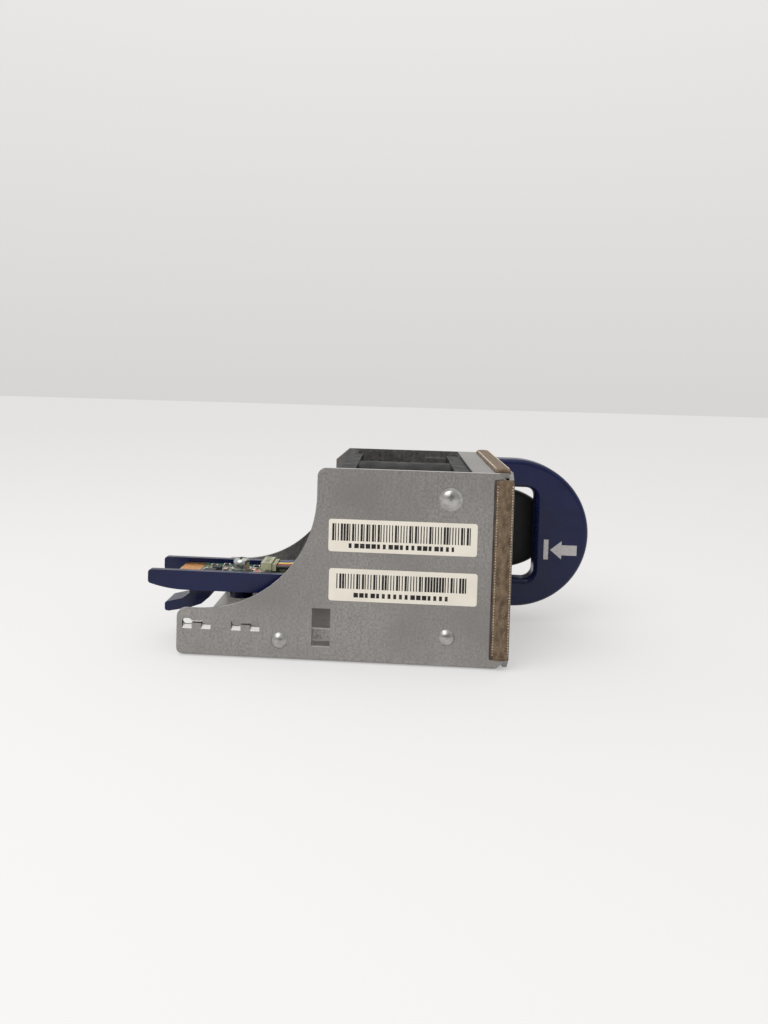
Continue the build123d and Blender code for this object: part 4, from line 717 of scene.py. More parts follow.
class Finish(NodeTree):
    """A procedural finish: one shader, varied over Object coordinates or the piece's own UV map.

    Its colour is the setting of the same name, where there is one.
    """

    def __init__(self, name, colour, roughness, metallic=0.0, coat=0.0, specular=0.5):
        self.material = bpy.data.materials.new(name + FINISH_ENDING)
        self.material.use_nodes = True
        super().__init__(self.material.node_tree)
        self.shader = self.nodes["Principled BSDF"]
        self.colour = tuple(getattr(bpy.context.scene.tray_finishes, name, colour))
        self.put("Base Color", self.colour)
        self.put("Roughness", roughness)
        self.put("Metallic", metallic)
        self.put("Coat Weight", coat)
        self.put("Specular IOR Level", specular)
        coordinates = self.nodes.new("ShaderNodeTexCoord").outputs
        self.place, self.uv, self.normal = coordinates["Object"], coordinates["UV"], coordinates["Normal"]

    def put(self, socket, value):
        """Set one of the shader's values, or let a node's output drive it."""
        self.fill(self.shader.inputs[socket], value)

    def noise(self, grain):
        """The fractal noise of a grain."""
        mapping = self.nodes.new("ShaderNodeMapping")
        mapping.inputs["Scale"].default_value = [1 / (MM * grain.cell * share) for share in grain.stretch]
        texture = self.nodes.new("ShaderNodeTexNoise")
        texture.inputs["Scale"].default_value = 1.0
        texture.inputs["Detail"].default_value = grain.detail
        self.links.new(self.place, mapping.inputs["Vector"])
        self.links.new(mapping.outputs["Vector"], texture.inputs["Vector"])
        return texture.outputs["Fac"]

    def vary(self, grain, *results):
        """Noise from one result to the other."""
        return self.spread(self.noise(grain), NOISE_RANGE, results)

    def flecks(self, cell, share):
        """1 near scattered points, one to a cell of so many millimetres, within a share of the cell."""
        texture = self.nodes.new("ShaderNodeTexVoronoi")
        texture.inputs["Scale"].default_value = 1 / (MM * cell)
        self.links.new(self.place, texture.inputs["Vector"])
        return self.calculate("LESS_THAN", texture.outputs["Distance"], share)

    def wave(self, value, length):
        """The sine of a value, with a full turn in a length."""
        return self.calculate("SINE", self.calculate("MULTIPLY", value, FULL_TURN / length))

    def bump(self, height, depth):
        """Raise the surface by up to depth millimetres where height is 1."""
        node = self.nodes.new("ShaderNodeBump")
        node.inputs["Distance"].default_value = depth * MM
        self.links.new(height, node.inputs["Height"])
        self.put("Normal", node.outputs["Normal"])

    def shade(self, amount):
        """The finish's own colour, darker or lighter by a share."""
        return tuple(min(1.0, part * amount) for part in self.colour)

    def mottle(self, value, limits, shades):
        """Vary the colour between two shades of itself."""
        darker, lighter = (self.shade(amount) for amount in shades)
        self.put("Base Color", self.tint(self.spread(value, limits, (0.0, 1.0)), darker, lighter))

    def millimetres(self):
        """The three parts of a point's place, in millimetres from the tray's corner."""
        for name, corner in zip("XYZ", CORNER):
            metres = self.calculate("SUBTRACT", self.axis(self.place, name), float(corner))
            yield self.calculate("DIVIDE", metres, MM)


def from_recipe(name):
    """A finish of the table of recipes."""
    recipe = RECIPES[name]
    finish = Finish(name, recipe.colour, recipe.roughness, recipe.metallic, recipe.coat, recipe.specular)
    finish.mottle(finish.noise(recipe.patches), recipe.shade_limits, recipe.shades)
    if recipe.gloss:
        finish.put("Roughness", finish.vary(recipe.gloss, *recipe.roughnesses))
    if recipe.relief:
        finish.bump(finish.noise(recipe.relief), recipe.depth)
    if recipe.subsurface:
        finish.put("Subsurface Weight", recipe.subsurface)
        finish.shader.inputs["Subsurface Radius"].default_value = NYLON_SCATTER
    return finish.material


def banded(name):
    """A finish of the table of bands: a sine along the fan's axis sets its relief, and its colour, darker
    in the relief's troughs as painted shade.
    """
    bands = BANDED[name]
    finish = Finish(name, bands.colour, bands.roughness, bands.metallic, bands.coat)
    wave = finish.wave(finish.axis(finish.place, "X"), bands.pitch * MM)
    # Painted shade in the grooves between the sheets and between the wires
    finish.mottle(wave, bands.wave_limits, bands.shades)
    finish.bump(wave, bands.depth)
    return finish.material


def zinc_sheet(name):
    """Zinc-plated steel sheet: upright grain and streaks from rolling, soft clouds and faint smudges.

    Between the walls' faces, the cut outline gets a painted highlight and the insides of the tail's eyes
    get a painted shade.
    """
    finish = Finish(name, SHEET_COLOUR, 0.42, metallic=1.0)
    level = finish.vary(SHEET_GRAIN, 0.0, 0.6)
    level = finish.calculate("ADD", level, finish.vary(SHEET_STREAKS, 0.0, 0.2))
    level = finish.calculate("ADD", level, finish.vary(SHEET_CLOUDS, 0.0, 0.2))
    smudge = finish.spread(finish.noise(SHEET_SMUDGES), (0.44, 0.66), (0.0, 0.62))
    edges, eye_shade = wall_edges(finish)
    base = finish.tint(level, finish.shade(0.60), finish.shade(1.38))
    base = finish.tint(smudge, base, finish.shade(0.70))
    # Painted highlight on the walls' cut edges
    base = finish.tint(edges, base, EDGE_HIGHLIGHT_COLOUR)
    # Painted shade inside the tail's eyes
    finish.put("Base Color", finish.tint(eye_shade, base, finish.shade(0.30)))
    finish.put("Metallic", finish.spread(edges, (0.0, 1.0), (1.0, 0.55)))
    finish.put("Roughness", finish.spread(level, (0.2, 0.8), (0.32, 0.50)))
    finish.bump(finish.noise(SHEET_ROLLING), 0.007)
    return finish.material


def wall_edges(finish):
    """Two masks: the walls' cut edges, which look along the wall, and the insides of the tail's eyes; the
    first carries a painted highlight, the second a painted shade.
    """
    along, across, height = finish.millimetres()
    near = finish.between(across, TRAY_LOW[1] + EDGE_MARGIN, TRAY_LOW[1] + SHEET - EDGE_MARGIN)
    far = finish.between(across, TRAY_HIGH[1] - SHEET + EDGE_MARGIN, TRAY_HIGH[1] - EDGE_MARGIN)
    window = finish.both(
        finish.between(along, *WINDOW_X),
        finish.between(height, *WINDOW_Z),
        finish.calculate("LESS_THAN", across, BRIDGE_DEPTH),
    )
    facing_out = finish.calculate("ABSOLUTE", finish.axis(finish.normal, "Y"))
    sheared = finish.both(
        finish.either(near, far, window),
        finish.calculate("LESS_THAN", facing_out, FACING_LIMIT),
        finish.calculate("GREATER_THAN", height, BEND_HEIGHT),
    )
    eyes = finish.both(finish.between(along, *EYES_X), finish.between(height, *EYES_Z))
    return sheared, finish.both(sheared, eyes)


def board_laminate(name):
    """Solder mask over copper: broken straight runs and ground patches show through the green."""
    finish = Finish(name, LAMINATE_COLOUR, 0.30, coat=0.25)
    texture = finish.nodes.new("ShaderNodeTexBrick")
    texture.inputs["Scale"].default_value = 1 / MM
    for socket, value in COPPER_RUNS:
        texture.inputs[socket].default_value = value
    finish.links.new(finish.place, texture.inputs["Vector"])
    ground = finish.spread(finish.noise(Grain(3.0, 1.0)), (0.49, 0.51), (0.0, 1.0))
    copper = finish.either(texture.outputs["Fac"], ground)
    finish.put("Base Color", finish.tint(copper, finish.shade(0.72), finish.shade(1.35)))
    finish.bump(copper, 0.02)
    return finish.material


def bronze_bush(name):
    """Sintered bronze: open pores in a warm metal, painted dark as shade in them."""
    finish = Finish(name, BRONZE_COLOUR, 0.46, metallic=1.0)
    shaded_pores = finish.flecks(0.3, 0.25)
    # Painted shade in the pores
    finish.put("Base Color", finish.tint(shaded_pores, finish.colour, finish.shade(0.35)))
    finish.bump(finish.calculate("SUBTRACT", 1.0, shaded_pores), 0.01)
    return finish.material


def strip_cloth(name):
    """Metallised woven cloth on the strip's own UV: crossing threads, long patches that vary its colour
    and gloss, and painted glints.
    """
    finish = Finish(name, CLOTH_COLOUR, 0.50, metallic=0.3, specular=0.3)
    weave = finish.both(*(finish.wave(finish.axis(finish.uv, part), CLOTH_THREAD) for part in "XY"))
    # Long soft patches that vary the cloth's colour and roughness
    cloth_patches = finish.noise(CLOTH_PATCHES)
    woven = finish.spread(weave, (-1.0, 1.0), (0.0, 0.3))
    level = finish.calculate("ADD", woven, finish.spread(cloth_patches, (0.32, 0.68), (0.0, 0.7)))
    base = finish.tint(level, finish.shade(0.35), finish.shade(1.75))
    # Painted glints: scattered flecks of the cloth's colour made far lighter
    finish.put("Base Color", finish.tint(finish.flecks(0.62, 0.15), base, finish.shade(2.6)))
    finish.put("Roughness", finish.spread(cloth_patches, NOISE_RANGE, (0.40, 0.60)))
    finish.bump(finish.calculate("ADD", weave, finish.noise(Grain(0.8))), 0.04)
    return finish.material


def printed_paper(name, sizes, pattern):
    """Matt paper with a made-up pattern: bars at one pitch, thin or thick as a random number says.

    A second row of short and long dashes stands below the bars. Neither row says anything.
    """
    finish = Finish(name, tuple(sizes.paper), 0.48, specular=0.25)
    across, up = finish.axis(finish.uv, "X"), finish.axis(finish.uv, "Y")
    bar_span = (pattern.bar_margins[0], sizes.length - pattern.bar_margins[1])
    bars = finish.both(
        random_strokes(finish, across, bar_span[0], sizes.bar_pitch, pattern.seed, BAR_SHARES),
        finish.between(across, *bar_span),
        finish.between(up, *pattern.bar_band),
    )
    dash_seed = pattern.seed + DASH_SEED_STEP
    dashes = finish.both(
        random_strokes(finish, across, pattern.dash_span[0], sizes.dash_pitch, dash_seed, DASH_SHARES),
        finish.between(up, *DASH_BAND),
        finish.between(across, *pattern.dash_span),
    )
    worn = finish.spread(finish.noise(Grain(0.5)), (0.25, 0.45), (0.92, 1.0))
    ink = finish.both(finish.either(bars, dashes), worn)
    aged = finish.spread(finish.noise(Grain(4.0, 4.0)), (0.4, 0.7), (0.0, 1.0))
    paper = finish.tint(aged, finish.colour, finish.shade(0.93))
    finish.put("Base Color", finish.tint(ink, paper, tuple(sizes.ink)))
    finish.put("Roughness", finish.spread(ink, (0.0, 1.0), (0.50, 0.42)))
    finish.bump(finish.noise(Grain(0.2)), 0.008)
    return finish.material


def random_strokes(finish, across, start, pitch, seed, shares):
    """1 inside the first part of each pitch, which is one of two shares of it, by a random number."""
    steps = finish.calculate("DIVIDE", finish.calculate("SUBTRACT", across, start), pitch)
    texture = finish.nodes.new("ShaderNodeTexWhiteNoise")
    texture.noise_dimensions = "1D"
    finish.links.new(finish.calculate("ADD", finish.calculate("FLOOR", steps), seed), texture.inputs["W"])
    thick = finish.calculate("GREATER_THAN", texture.outputs["Value"], THICK_LIMIT)
    share = finish.spread(thick, (0.0, 1.0), shares)
    return finish.calculate("LESS_THAN", finish.calculate("FRACT", steps), share)


def studio_floor():
    """A pale floor that keeps its shadows and looks even to the camera and in metal and glass."""
    finish = Finish("studio_floor", FLOOR_COLOUR, 0.85, specular=0.1)
    glow = finish.nodes.new("ShaderNodeEmission")
    finish.fill(glow.inputs["Color"], FLOOR_GLOW)
    finish.fill(glow.inputs["Strength"], finish.seen_directly())
    mixed = finish.nodes.new("ShaderNodeMixShader")
    shaders = (FLOOR_GLOW_SHARE, finish.shader.outputs["BSDF"], glow.outputs["Emission"])
    for socket, value in zip(mixed.inputs, shaders):
        finish.fill(socket, value)
    finish.links.new(mixed.outputs["Shader"], finish.nodes["Material Output"].inputs["Surface"])
    return finish.material


MAKERS = {
    **dict.fromkeys(RECIPES, from_recipe),
    **dict.fromkeys(BANDED, banded),
    "galvanised_sheet": zinc_sheet,
    "gasket_fabric": strip_cloth,
    "board_laminate": board_laminate,
    "bronze_bush": bronze_bush,
}


def finish_of(name):
    """The material of a finish, made when it is first asked for."""
    return bpy.data.materials.get(name + FINISH_ENDING) or MAKERS[name](name)


class TRAY_OT_finishes(bpy.types.Operator):
    """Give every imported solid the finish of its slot"""

    bl_idname = "tray.finishes"
    bl_label = "Finish the solids"

    def execute(self, context):
        for row in frame["record"]["subparts"]:
            materials = frame["nodes"][row["node"]].data.materials
            materials.clear()
            materials.append(finish_of(row["material_slot"]))
        return {"FINISHED"}


class TRAY_OT_stickers(bpy.types.Operator):
    """Put the two paper stickers on the near wall"""

    bl_idname = "tray.stickers"
    bl_label = "Stickers"

    def execute(self, context):
        sizes = in_millimetres(context.scene.tray_stickers)
        rows = (
            ("sticker_upper", sizes.upper_x, sizes.upper_z, UPPER_PATTERN),
            ("sticker_lower", sizes.lower_x, sizes.lower_z, LOWER_PATTERN),
        )
        for name, x, z, pattern in rows:
            centre = (x + sizes.length / 2, 0.0, z + sizes.height / 2)
            grid = plate(centre, sizes.length, sizes.height, sizes.thickness, sizes.corner)
            finish = printed_paper(name, sizes, pattern)
            piece(name, grid, finish, TRAY_BODY, smooth=False, uv_axes=(0, 2))
        return {"FINISHED"}


class TRAY_OT_pictogram(bpy.types.Operator):
    """Print the arrow that points to a bar on the handle"""

    bl_idname = "tray.pictogram"
    bl_label = "Handle pictogram"

    def execute(self, context):
        sizes = in_millimetres(context.scene.tray_pictogram)
        rear, low = sizes.bar_rear, sizes.bar_low
        front, high = rear + sizes.bar_width, low + sizes.bar_height
        bar = [(rear, low), (front, low), (front, high), (rear, high)]
        neck = sizes.tip + sizes.head_length
        tail = neck + sizes.shaft_length
        head, shaft = sizes.head_height / 2, sizes.shaft_height / 2
        upper = [(neck, head), (neck, shaft), (tail, shaft)]
        arrow = [(sizes.tip, sizes.middle)]
        arrow += [(x, sizes.middle - rise) for x, rise in upper]
        arrow += [(x, sizes.middle + rise) for x, rise in reversed(upper)]
        for name, outline in (("pictogram_bar", bar), ("pictogram_arrow", arrow)):
            raised_outline(name, outline, HANDLE_LOW[1], sizes.ink_height, finish_of("handle_print"))
        return {"FINISHED"}


def raised_outline(name, outline, wall_y, height, finish):
    """A polygon on a face that looks towards -Y and its copy one height out, joined by their sides."""
    corners = np.array(outline)
    count = len(corners)
    points = np.zeros((2 * count, 3))
    points[:, [0, 2]] = np.vstack([corners, corners])
    points[:, 1] = np.repeat([wall_y, wall_y - height], count)
    ring = np.arange(count)
    after = (ring + 1) % count
    sides = np.stack([ring, after, after + count, ring + count], axis=-1).tolist()
    faces = [ring.tolist(), (ring + count).tolist()] + sides
    return piece_from_faces(name, points, faces, finish, TRAY_BODY, False)


class TRAY_OT_strips(bpy.types.Operator):
    """Make the four sealing strips round the mouth, with bright beads as painted glints and dark backing
    tapes partly as painted shade
    """

    bl_idname = "tray.strips"
    bl_label = "Sealing strips"

    def execute(self, context):
        sizes = in_millimetres(context.scene.tray_strips)
        for node, along, out in STRIPS:
            low, high = box_mm(node)
            if node in SIDE_STRIPS:
                high = high + (sizes.overhang, 0.0, 0.0)
            name = node.replace("gasket", "strip")
            grid = strip_grid(low, high, along, out, sizes.swell)
            uv_axes = (3 - along - out[0], along)
            cloth = finish_of("gasket_fabric")
            strip = piece(name, grid, cloth, TRAY_BODY, uv_axes=uv_axes)
            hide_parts(node)
            half = np.full(3, sizes.stitch * STITCH_WIDTH_SHARE)
            half[along] = sizes.stitch
            places = stitch_places(low, high, along, out, sizes.thread_inset, sizes.thread_pitch)
            stitch = Lump(half, STITCH_POWER, columns=6)
            # Bright beads along the edges, coloured as painted glints
            lumps(name + "_stitches", stitch, places, finish_of("bright_thread"))
            if node in SIDE_STRIPS:
                # Dark tape behind the side strips, partly painted shade of the gap
                side_shaded_tape(name + "_tape", low, high, out, sizes)
        return {"FINISHED"}


def strip_grid(low, high, along, out, swell):
    """A sealing strip: a superellipse whose lower half is pressed flat, carried along the strip.

    The section is half the width times cos to 2/3, and the height times the upper part of sin to 2/3. The
    ends are closed by the share (1 - w to 40) to 1/6, where w runs from -1 to 1 along the strip, and slow
    sines swell the height as foam does.
    """
    across = 3 - along - out[0]
    run = np.sin(np.linspace(-math.pi / 2, math.pi / 2, STRIP_ROWS))
    run, turn = np.meshgrid(run, half_steps(STRIP_COLUMNS), indexing="ij")
    ends = np.clip(1 - np.abs(run) ** END_POWER, 0, 1) ** END_ROUND_SHARE
    middle, half = (low + high) / 2, (high - low) / 2
    waves = sum(np.sin(run * often + start) for often, start in SWELL_WAVES) / len(SWELL_WAVES)
    height = 2 * half[out[0]] * ends * (1 + swell * waves)
    base = high[out[0]] if out[1] < 0 else low[out[0]]
    points = np.zeros((*run.shape, 3))
    points[..., along] = middle[along] + half[along] * run
    section = signed_power(np.cos(turn), 2 / STRIP_POWER)
    points[..., across] = middle[across] + half[across] * ends * section
    points[..., out[0]] = base + out[1] * height * np.clip(np.sin(turn), 0, 1) ** (2 / STRIP_POWER)
    return points


def stitch_places(low, high, along, out, inset, pitch):
    """Places of the bright beads, coloured as painted glints of the cloth's threads: two rows along the
    strip's long edges, on the rounded shoulder.
    """
    across = 3 - along - out[0]
    middle, half = (low + high) / 2, (high - low) / 2
    count = int((high[along] - low[along]) / pitch) - BARE_STITCHES
    steps = (np.arange(count) - (count - 1) / 2) * pitch
    base = high[out[0]] if out[1] < 0 else low[out[0]]
    share = 1 - inset / half[across]
    places = np.zeros((2, count, 3))
    places[..., along] = middle[along] + steps
    places[..., across] = middle[across] + np.array([[-1], [1]]) * half[across] * share
    places[..., out[0]] = base + out[1] * 2 * half[out[0]] * (1 - share**STRIP_POWER) ** (1 / STRIP_POWER)
    return places.reshape(-1, 3)


def side_shaded_tape(name, low, high, out, sizes):
    """The thin backing tape under a wall's strip, dark as painted shade of the gap behind the strip's rear
    edge.
    """
    wall = high[1] if out[1] < 0 else low[1]
    middle = (low + high) / 2
    centre = (middle[0] - sizes.tape_margin / 2, 0, middle[2])
    length = high[0] - low[0] + sizes.tape_margin
    grid = plate(centre, length, high[2] - low[2], sizes.tape_thickness, TAPE_CORNER)
    grid[..., 1] = wall - out[1] * grid[..., 1]
    piece(name, grid, finish_of("backing_tape"), TRAY_BODY, smooth=False)


class TRAY_OT_board_detail(bpy.types.Operator):
    """Add chip legs, plated part ends, vias, pads, printed outlines and solder to the circuit board"""

    bl_idname = "tray.board_detail"
    bl_label = "Board detail"

    def execute(self, context):
        sizes = in_millimetres(context.scene.tray_board)
        tin = finish_of("solder")
        legs = [place for chip in CHIPS for place in chip_leg_places(chip, sizes.legs_per_side)]
        lumps("chip_legs", CHIP_LEG, legs, tin)
        ends = [end for part in CAPACITORS + RESISTORS for end in plated_ends(part, sizes.cap_length)]
        piece("part_ends", ends, tin, TRAY_BODY)
        via = Lump((sizes.via_radius, sizes.via_radius, VIA_HALF_HEIGHT), PAD_POWER, columns=10)
        vias = free_places(VIA_SEED, sizes.via_count, VIA_MARGIN)
        lumps("board_vias", via, vias, finish_of("gold_contact"))
        pad = Lump((sizes.pad_radius, sizes.pad_radius, PAD_HALF_HEIGHT), PAD_POWER, columns=16)
        pads = free_places(PAD_SEED, sizes.pad_count, sizes.pad_radius)
        lumps("board_pads", pad, pads, tin)
        frames, ink = outlines(sizes), finish_of("board_print")
        piece("board_outlines", frames, ink, TRAY_BODY, smooth=False, wrap_rows=True)
        piece("header_solder", header_solder(), tin, TRAY_BODY)
        return {"FINISHED"}


def chip_leg_places(chip, count):
    """Places of a chip's legs, evenly along its two long sides, half under the body."""
    x, y, length, width, _ = chip
    steps = (np.arange(count) - (count - 1) / 2) * length / count
    reach = width / 2 + LEG_REACH
    return [(x + step, y + side * reach, BOARD_TOP + LEG_RISE) for side in (-1, 1) for step in steps]


def plated_ends(part, cap_length):
    """The two plated ends of a small part, a little larger than its body."""
    x, y, length, width, height = part
    half = np.array([length, width, height]) / 2 + CAP_SWELL
    side = int(width > length)
    cap_half = half.copy()
    cap_half[side] = cap_length / 2
    for sign in (-1, 1):
        centre = np.array([x, y, BOARD_TOP + height / 2])
        centre[side] += sign * (half[side] - cap_half[side])
        yield lump_grid(Lump(cap_half, CAP_POWER, rows=7, columns=16)) + centre


def free_places(seed, count, margin):
    """Places drawn at random on the board's top, kept off its edges, contacts and parts by a margin."""
    draw = np.random.default_rng(seed)
    low = BOARD_LOW[:2] + (CONTACT_ROOM + margin, NEAR_ROOM + margin)
    high = BOARD_HIGH[:2] - FAR_ROOM - margin
    spots = low + draw.random((count * TRIES_PER_PLACE, 2)) * (high - low)
    clear = np.ones(len(spots), dtype=bool)
    for x, y, length, width, _ in CHIPS + CAPACITORS + RESISTORS:
        room = (length / 2 + PART_ROOM_X + margin, width / 2 + PART_ROOM_Y + margin)
        clear &= (np.abs(spots - (x, y)) > room).any(axis=1)
    washer = (WASHER_LOW + WASHER_HIGH)[:2] / 2
    washer_radius = (WASHER_HIGH - WASHER_LOW)[0] / 2
    clear &= np.hypot(*(spots - washer).T) > washer_radius + WASHER_ROOM + margin
    behind = spots < HEADER_LOW[:2] - HEADER_ROOM - margin
    beyond = spots > HEADER_HIGH[:2] + HEADER_ROOM + margin + WIRE_ROOM
    clear &= (behind | beyond).any(axis=1)
    spots = spots[clear][:count]
    if len(spots) < count:
        raise RuntimeError("the board has no room for all its vias or pads")
    return np.column_stack([spots, np.full(count, BOARD_TOP)])


def outlines(sizes):
    """A printed rectangle round every part: an outer and an inner one, at the board and just above."""
    signs = np.array([(1, 1), (-1, 1), (-1, -1), (1, -1)])
    steps = np.array([0.0, 0.0, -sizes.line, -sizes.line])
    heights = BOARD_TOP + np.array([0.0, PRINT_HEIGHT, PRINT_HEIGHT, 0.0])
    frames = []
    for parts, side_margin in ((CHIPS, sizes.leg_margin), (CAPACITORS + RESISTORS, sizes.part_margin)):
        for x, y, length, width, _ in parts:
            half = np.array([length / 2 + sizes.part_margin, width / 2 + side_margin]) + sizes.line
            ring = np.zeros((4, 4, 3))
            ring[..., :2] = (x, y) + signs * (half + steps[:, None, None])
            ring[..., 2] = heights[:, None]
            frames.append(ring)
    return frames


def pin_places(middle_y):
    """The places across the board of the header's pins."""
    return (np.arange(WIRE_PINS) - (WIRE_PINS - 1) / 2) * PIN_PITCH + middle_y


def header_solder():
    """Fillets of solder at the header's two hold-down tabs and along its rear, one for each pin."""
    middle = (HEADER_LOW + HEADER_HIGH) / 2
    rear = HEADER_LOW[0] - FILLET_SETBACK
    fillets = [lump_grid(PIN_FILLET) + (rear, y, BOARD_TOP) for y in pin_places(middle[1])]
    fillets += [lump_grid(TAB_FILLET) + (middle[0], y, BOARD_TOP) for y in (HEADER_LOW[1], HEADER_HIGH[1])]
    return fillets


class TRAY_OT_plug_detail(bpy.types.Operator):
    """Add the plug's grip ribs, and dark patches on the header as painted shade in its contact windows"""

    bl_idname = "tray.plug_detail"
    bl_label = "Plug detail"

    def execute(self, context):
        middle = (PLUG_LOW + PLUG_HIGH) / 2
        half_width = (PLUG_HIGH - PLUG_LOW)[1] / 2 - RIB_SIDE_INSET
        rib = Lump((RIB_HALF_LENGTH, half_width, RIB_HALF_HEIGHT), RIB_POWER, columns=12)
        front = PLUG_HIGH[0] - RIB_INSET
        ribs = [(x, middle[1], PLUG_HIGH[2]) for x in (front, front - RIB_PITCH)]
        lumps("plug_ribs", rib, ribs, finish_of("white_nylon"))
        # Painted shade in the header's contact windows
        window_x = (HEADER_LOW + HEADER_HIGH)[0] / 2
        window_shades = [(window_x, y, HEADER_HIGH[2]) for y in pin_places(middle[1])]
        lumps("header_windows", PLUG_WINDOW_SHADE, window_shades, finish_of("chip_black"))
        return {"FINISHED"}


class TRAY_OT_spring(bpy.types.Operator):
    """Wind the lever's torsion spring as one wire in place of its plain stand-in"""

    bl_idname = "tray.spring"
    bl_label = "Lever spring"

    def execute(self, context):
        sizes = in_millimetres(context.scene.tray_spring)
        grid = tube_grid(spring_path(sizes.wire / 2, sizes.turns), sizes.wire / 2)
        spring = piece("spring_coil", grid, finish_of("spring_steel"), LEVER_BODY)
        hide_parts("lever_spring")
        return {"FINISHED"}


def spring_path(wire_radius, turns):
    """A helix down the pin, -cos of its turn along X and sin along Y, with a straight leg at its foot."""
    centre = (PIN_LOW + PIN_HIGH) / 2
    radius = SPRING_HIGH[1] - centre[1] - wire_radius
    low, high = SPRING_LOW[2] + wire_radius, SPRING_HIGH[2] - wire_radius
    turn = np.linspace(math.pi / 2 - turns * FULL_TURN, math.pi / 2, SPRING_STEPS)
    heights = np.linspace(high, low, SPRING_STEPS)
    coil = np.column_stack([centre[0] - radius * np.cos(turn), centre[1] + radius * np.sin(turn), heights])
    leg_x = np.linspace(centre[0], SPRING_HIGH[0], LEG_POINTS + 1)[1:]
    leg = np.column_stack([leg_x, np.full(LEG_POINTS, centre[1] + radius), np.full(LEG_POINTS, low)])
    return np.vstack([coil, leg])


def tube_grid(path, radius):
    """A round tube along a path, closed by rings of no radius.

    The section's circle stands on the cross product of the path's direction with Z, and on the cross
    product of those two.
    """
    direction = np.gradient(path, axis=0)
    direction /= np.linalg.norm(direction, axis=1)[:, None]
    side = np.cross(direction, (0.0, 0.0, 1.0))
    side /= np.linalg.norm(side, axis=1)[:, None]
    up = np.cross(side, direction)
    turn = half_steps(WIRE_COLUMNS)
    reach = np.full(len(path), radius)
    reach[[0, -1]] = 0.0
    ring = np.cos(turn)[None, :, None] * side[:, None, :] + np.sin(turn)[None, :, None] * up[:, None, :]
    return path[:, None, :] + reach[:, None, None] * ring


class TRAY_OT_stage(bpy.types.Operator):
    """Set up the pale floor, the surroundings, the lamp and the camera"""

    bl_idname = "tray.stage"
    bl_label = "Stage"

    def execute(self, context):
        settings = context.scene.tray_stage
        build_floor(context)
        build_world(context, settings)
        build_lamp(context, settings)
        build_camera(context, settings)
        context.scene.view_settings.view_transform = "Standard"
        return {"FINISHED"}


def build_floor(context):
    """A wide square just under the tray."""
    signs = ((-1, -1), (1, -1), (1, 1), (-1, 1))
    corners = [(x * FLOOR_HALF, y * FLOOR_HALF, -FLOOR_DROP) for x, y in signs]
    mesh = bpy.data.meshes.new("studio_floor")
    mesh.from_pydata(corners, [], [(0, 1, 2, 3)])
    mesh.materials.append(studio_floor())
    floor = bpy.data.objects.new("studio_floor", mesh)
    context.scene.collection.objects.link(floor)


def build_world(context, settings):
    """Pale surroundings, brighter overhead, and in metal and glass dimmer behind the camera."""
    world = bpy.data.worlds.new("studio")
    world.use_nodes = True
    tree = NodeTree(world.node_tree)
    direction = tree.nodes.new("ShaderNodeTexCoord").outputs["Generated"]
    sky = tree.spread(tree.axis(direction, "Z"), SKY_HEIGHTS, SKY_LEVELS)
    behind = tree.spread(tree.axis(direction, "Y"), BEHIND_DEPTHS, BEHIND_LEVELS)
    on_matt = tree.both(sky, settings.world_level)
    unseen = tree.choose(tree.seen_directly(), on_matt, tree.both(sky, behind))
    camera_ray = tree.nodes.new("ShaderNodeLightPath").outputs["Is Camera Ray"]
    background = tree.nodes["Background"]
    tree.fill(background.inputs["Strength"], tree.choose(camera_ray, unseen, sky))
    tree.fill(background.inputs["Color"], DAYLIGHT)
    context.scene.world = world


def build_lamp(context, settings):
    """One broad soft lamp above and to the left of the camera."""
    lamp = bpy.data.lights.new("key", "AREA")
    lamp.energy = settings.key_watts
    lamp.size = settings.key_size
    holder = bpy.data.objects.new("key", lamp)
    holder.location = settings.key_place
    holder.rotation_euler = (-holder.location).to_track_quat("-Z", "Y").to_euler()
    context.scene.collection.objects.link(holder)


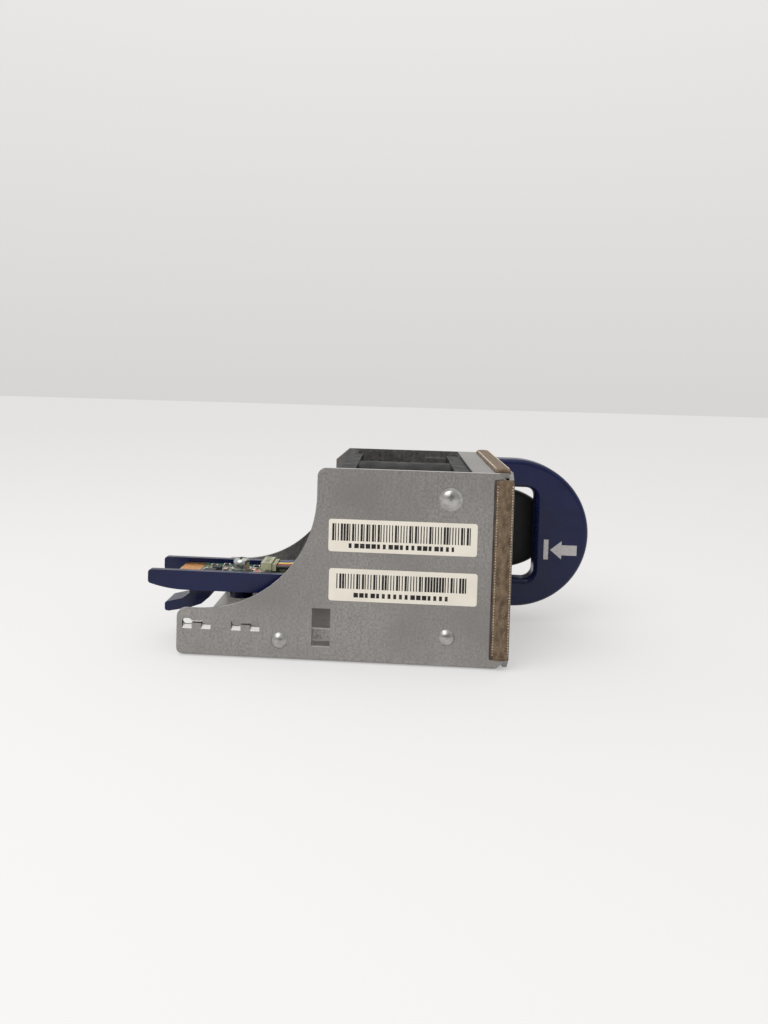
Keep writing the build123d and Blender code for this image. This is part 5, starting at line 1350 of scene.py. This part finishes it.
def build_camera(context, settings):
    """The camera, turned by its yaw, pitch and roll, with the picture's centre shifted off the lens's."""
    yaw, pitch, roll = settings.yaw, settings.pitch, settings.roll
    level = Vector((math.cos(yaw), math.sin(yaw), 0))
    ahead = Vector((-math.sin(yaw), math.cos(yaw), 0))
    forward = ahead * math.cos(pitch) - Vector((0, 0, math.sin(pitch)))
    down = forward.cross(level)
    right = level * math.cos(roll) + down * math.sin(roll)
    below = down * math.cos(roll) - level * math.sin(roll)
    camera = bpy.data.cameras.new("camera")
    camera.sensor_width = SENSOR
    camera.lens = settings.focal_px / PICTURE_HEIGHT * SENSOR
    camera.shift_x = (PICTURE_WIDTH / 2 - settings.centre_x) / PICTURE_HEIGHT
    camera.shift_y = (settings.centre_y - PICTURE_HEIGHT / 2) / PICTURE_HEIGHT
    camera.clip_start = MM
    holder = bpy.data.objects.new("camera", camera)
    turned = Matrix((right, -below, -forward)).transposed().to_4x4()
    turned.translation = Vector(CORNER) + settings.camera_place
    holder.matrix_world = turned
    context.scene.collection.objects.link(holder)
    context.scene.camera = holder


class TRAY_PT_sidebar(bpy.types.Panel):
    """Lists the tray's pieces in the sidebar"""

    bl_label = "Switch Fan Tray"
    bl_idname = "TRAY_PT_sidebar"
    bl_space_type = "VIEW_3D"
    bl_region_type = "UI"
    bl_category = "Fan Tray"

    def draw(self, context):
        """One button for each group of pieces and one for the stage."""
        for made in OPERATORS:
            self.layout.operator(made.bl_idname)


GROUPS = {
    "tray_stickers": StickerSizes,
    "tray_strips": StripSizes,
    "tray_pictogram": PictogramSizes,
    "tray_board": BoardSizes,
    "tray_spring": SpringSizes,
    "tray_finishes": FinishColours,
    "tray_stage": StageSettings,
}
OPERATORS = (
    TRAY_OT_stage,
    TRAY_OT_finishes,
    TRAY_OT_strips,
    TRAY_OT_stickers,
    TRAY_OT_pictogram,
    TRAY_OT_board_detail,
    TRAY_OT_plug_detail,
    TRAY_OT_spring,
)


def register():
    """Add the classes and the groups of settings."""
    for made in (*GROUPS.values(), *OPERATORS, TRAY_PT_sidebar):
        bpy.utils.register_class(made)
    for name, group in GROUPS.items():
        setattr(bpy.types.Scene, name, PointerProperty(type=group))


def unregister():
    """Take them away again, the last first."""
    for name in GROUPS:
        delattr(bpy.types.Scene, name)
    for made in (TRAY_PT_sidebar, *reversed(OPERATORS), *reversed(GROUPS.values())):
        bpy.utils.unregister_class(made)


def main():
    """Build every piece in order."""
    register()
    for made in OPERATORS:
        group, action = made.bl_idname.split(".")
        getattr(getattr(bpy.ops, group), action)()


if __name__ == "__main__":
    main()
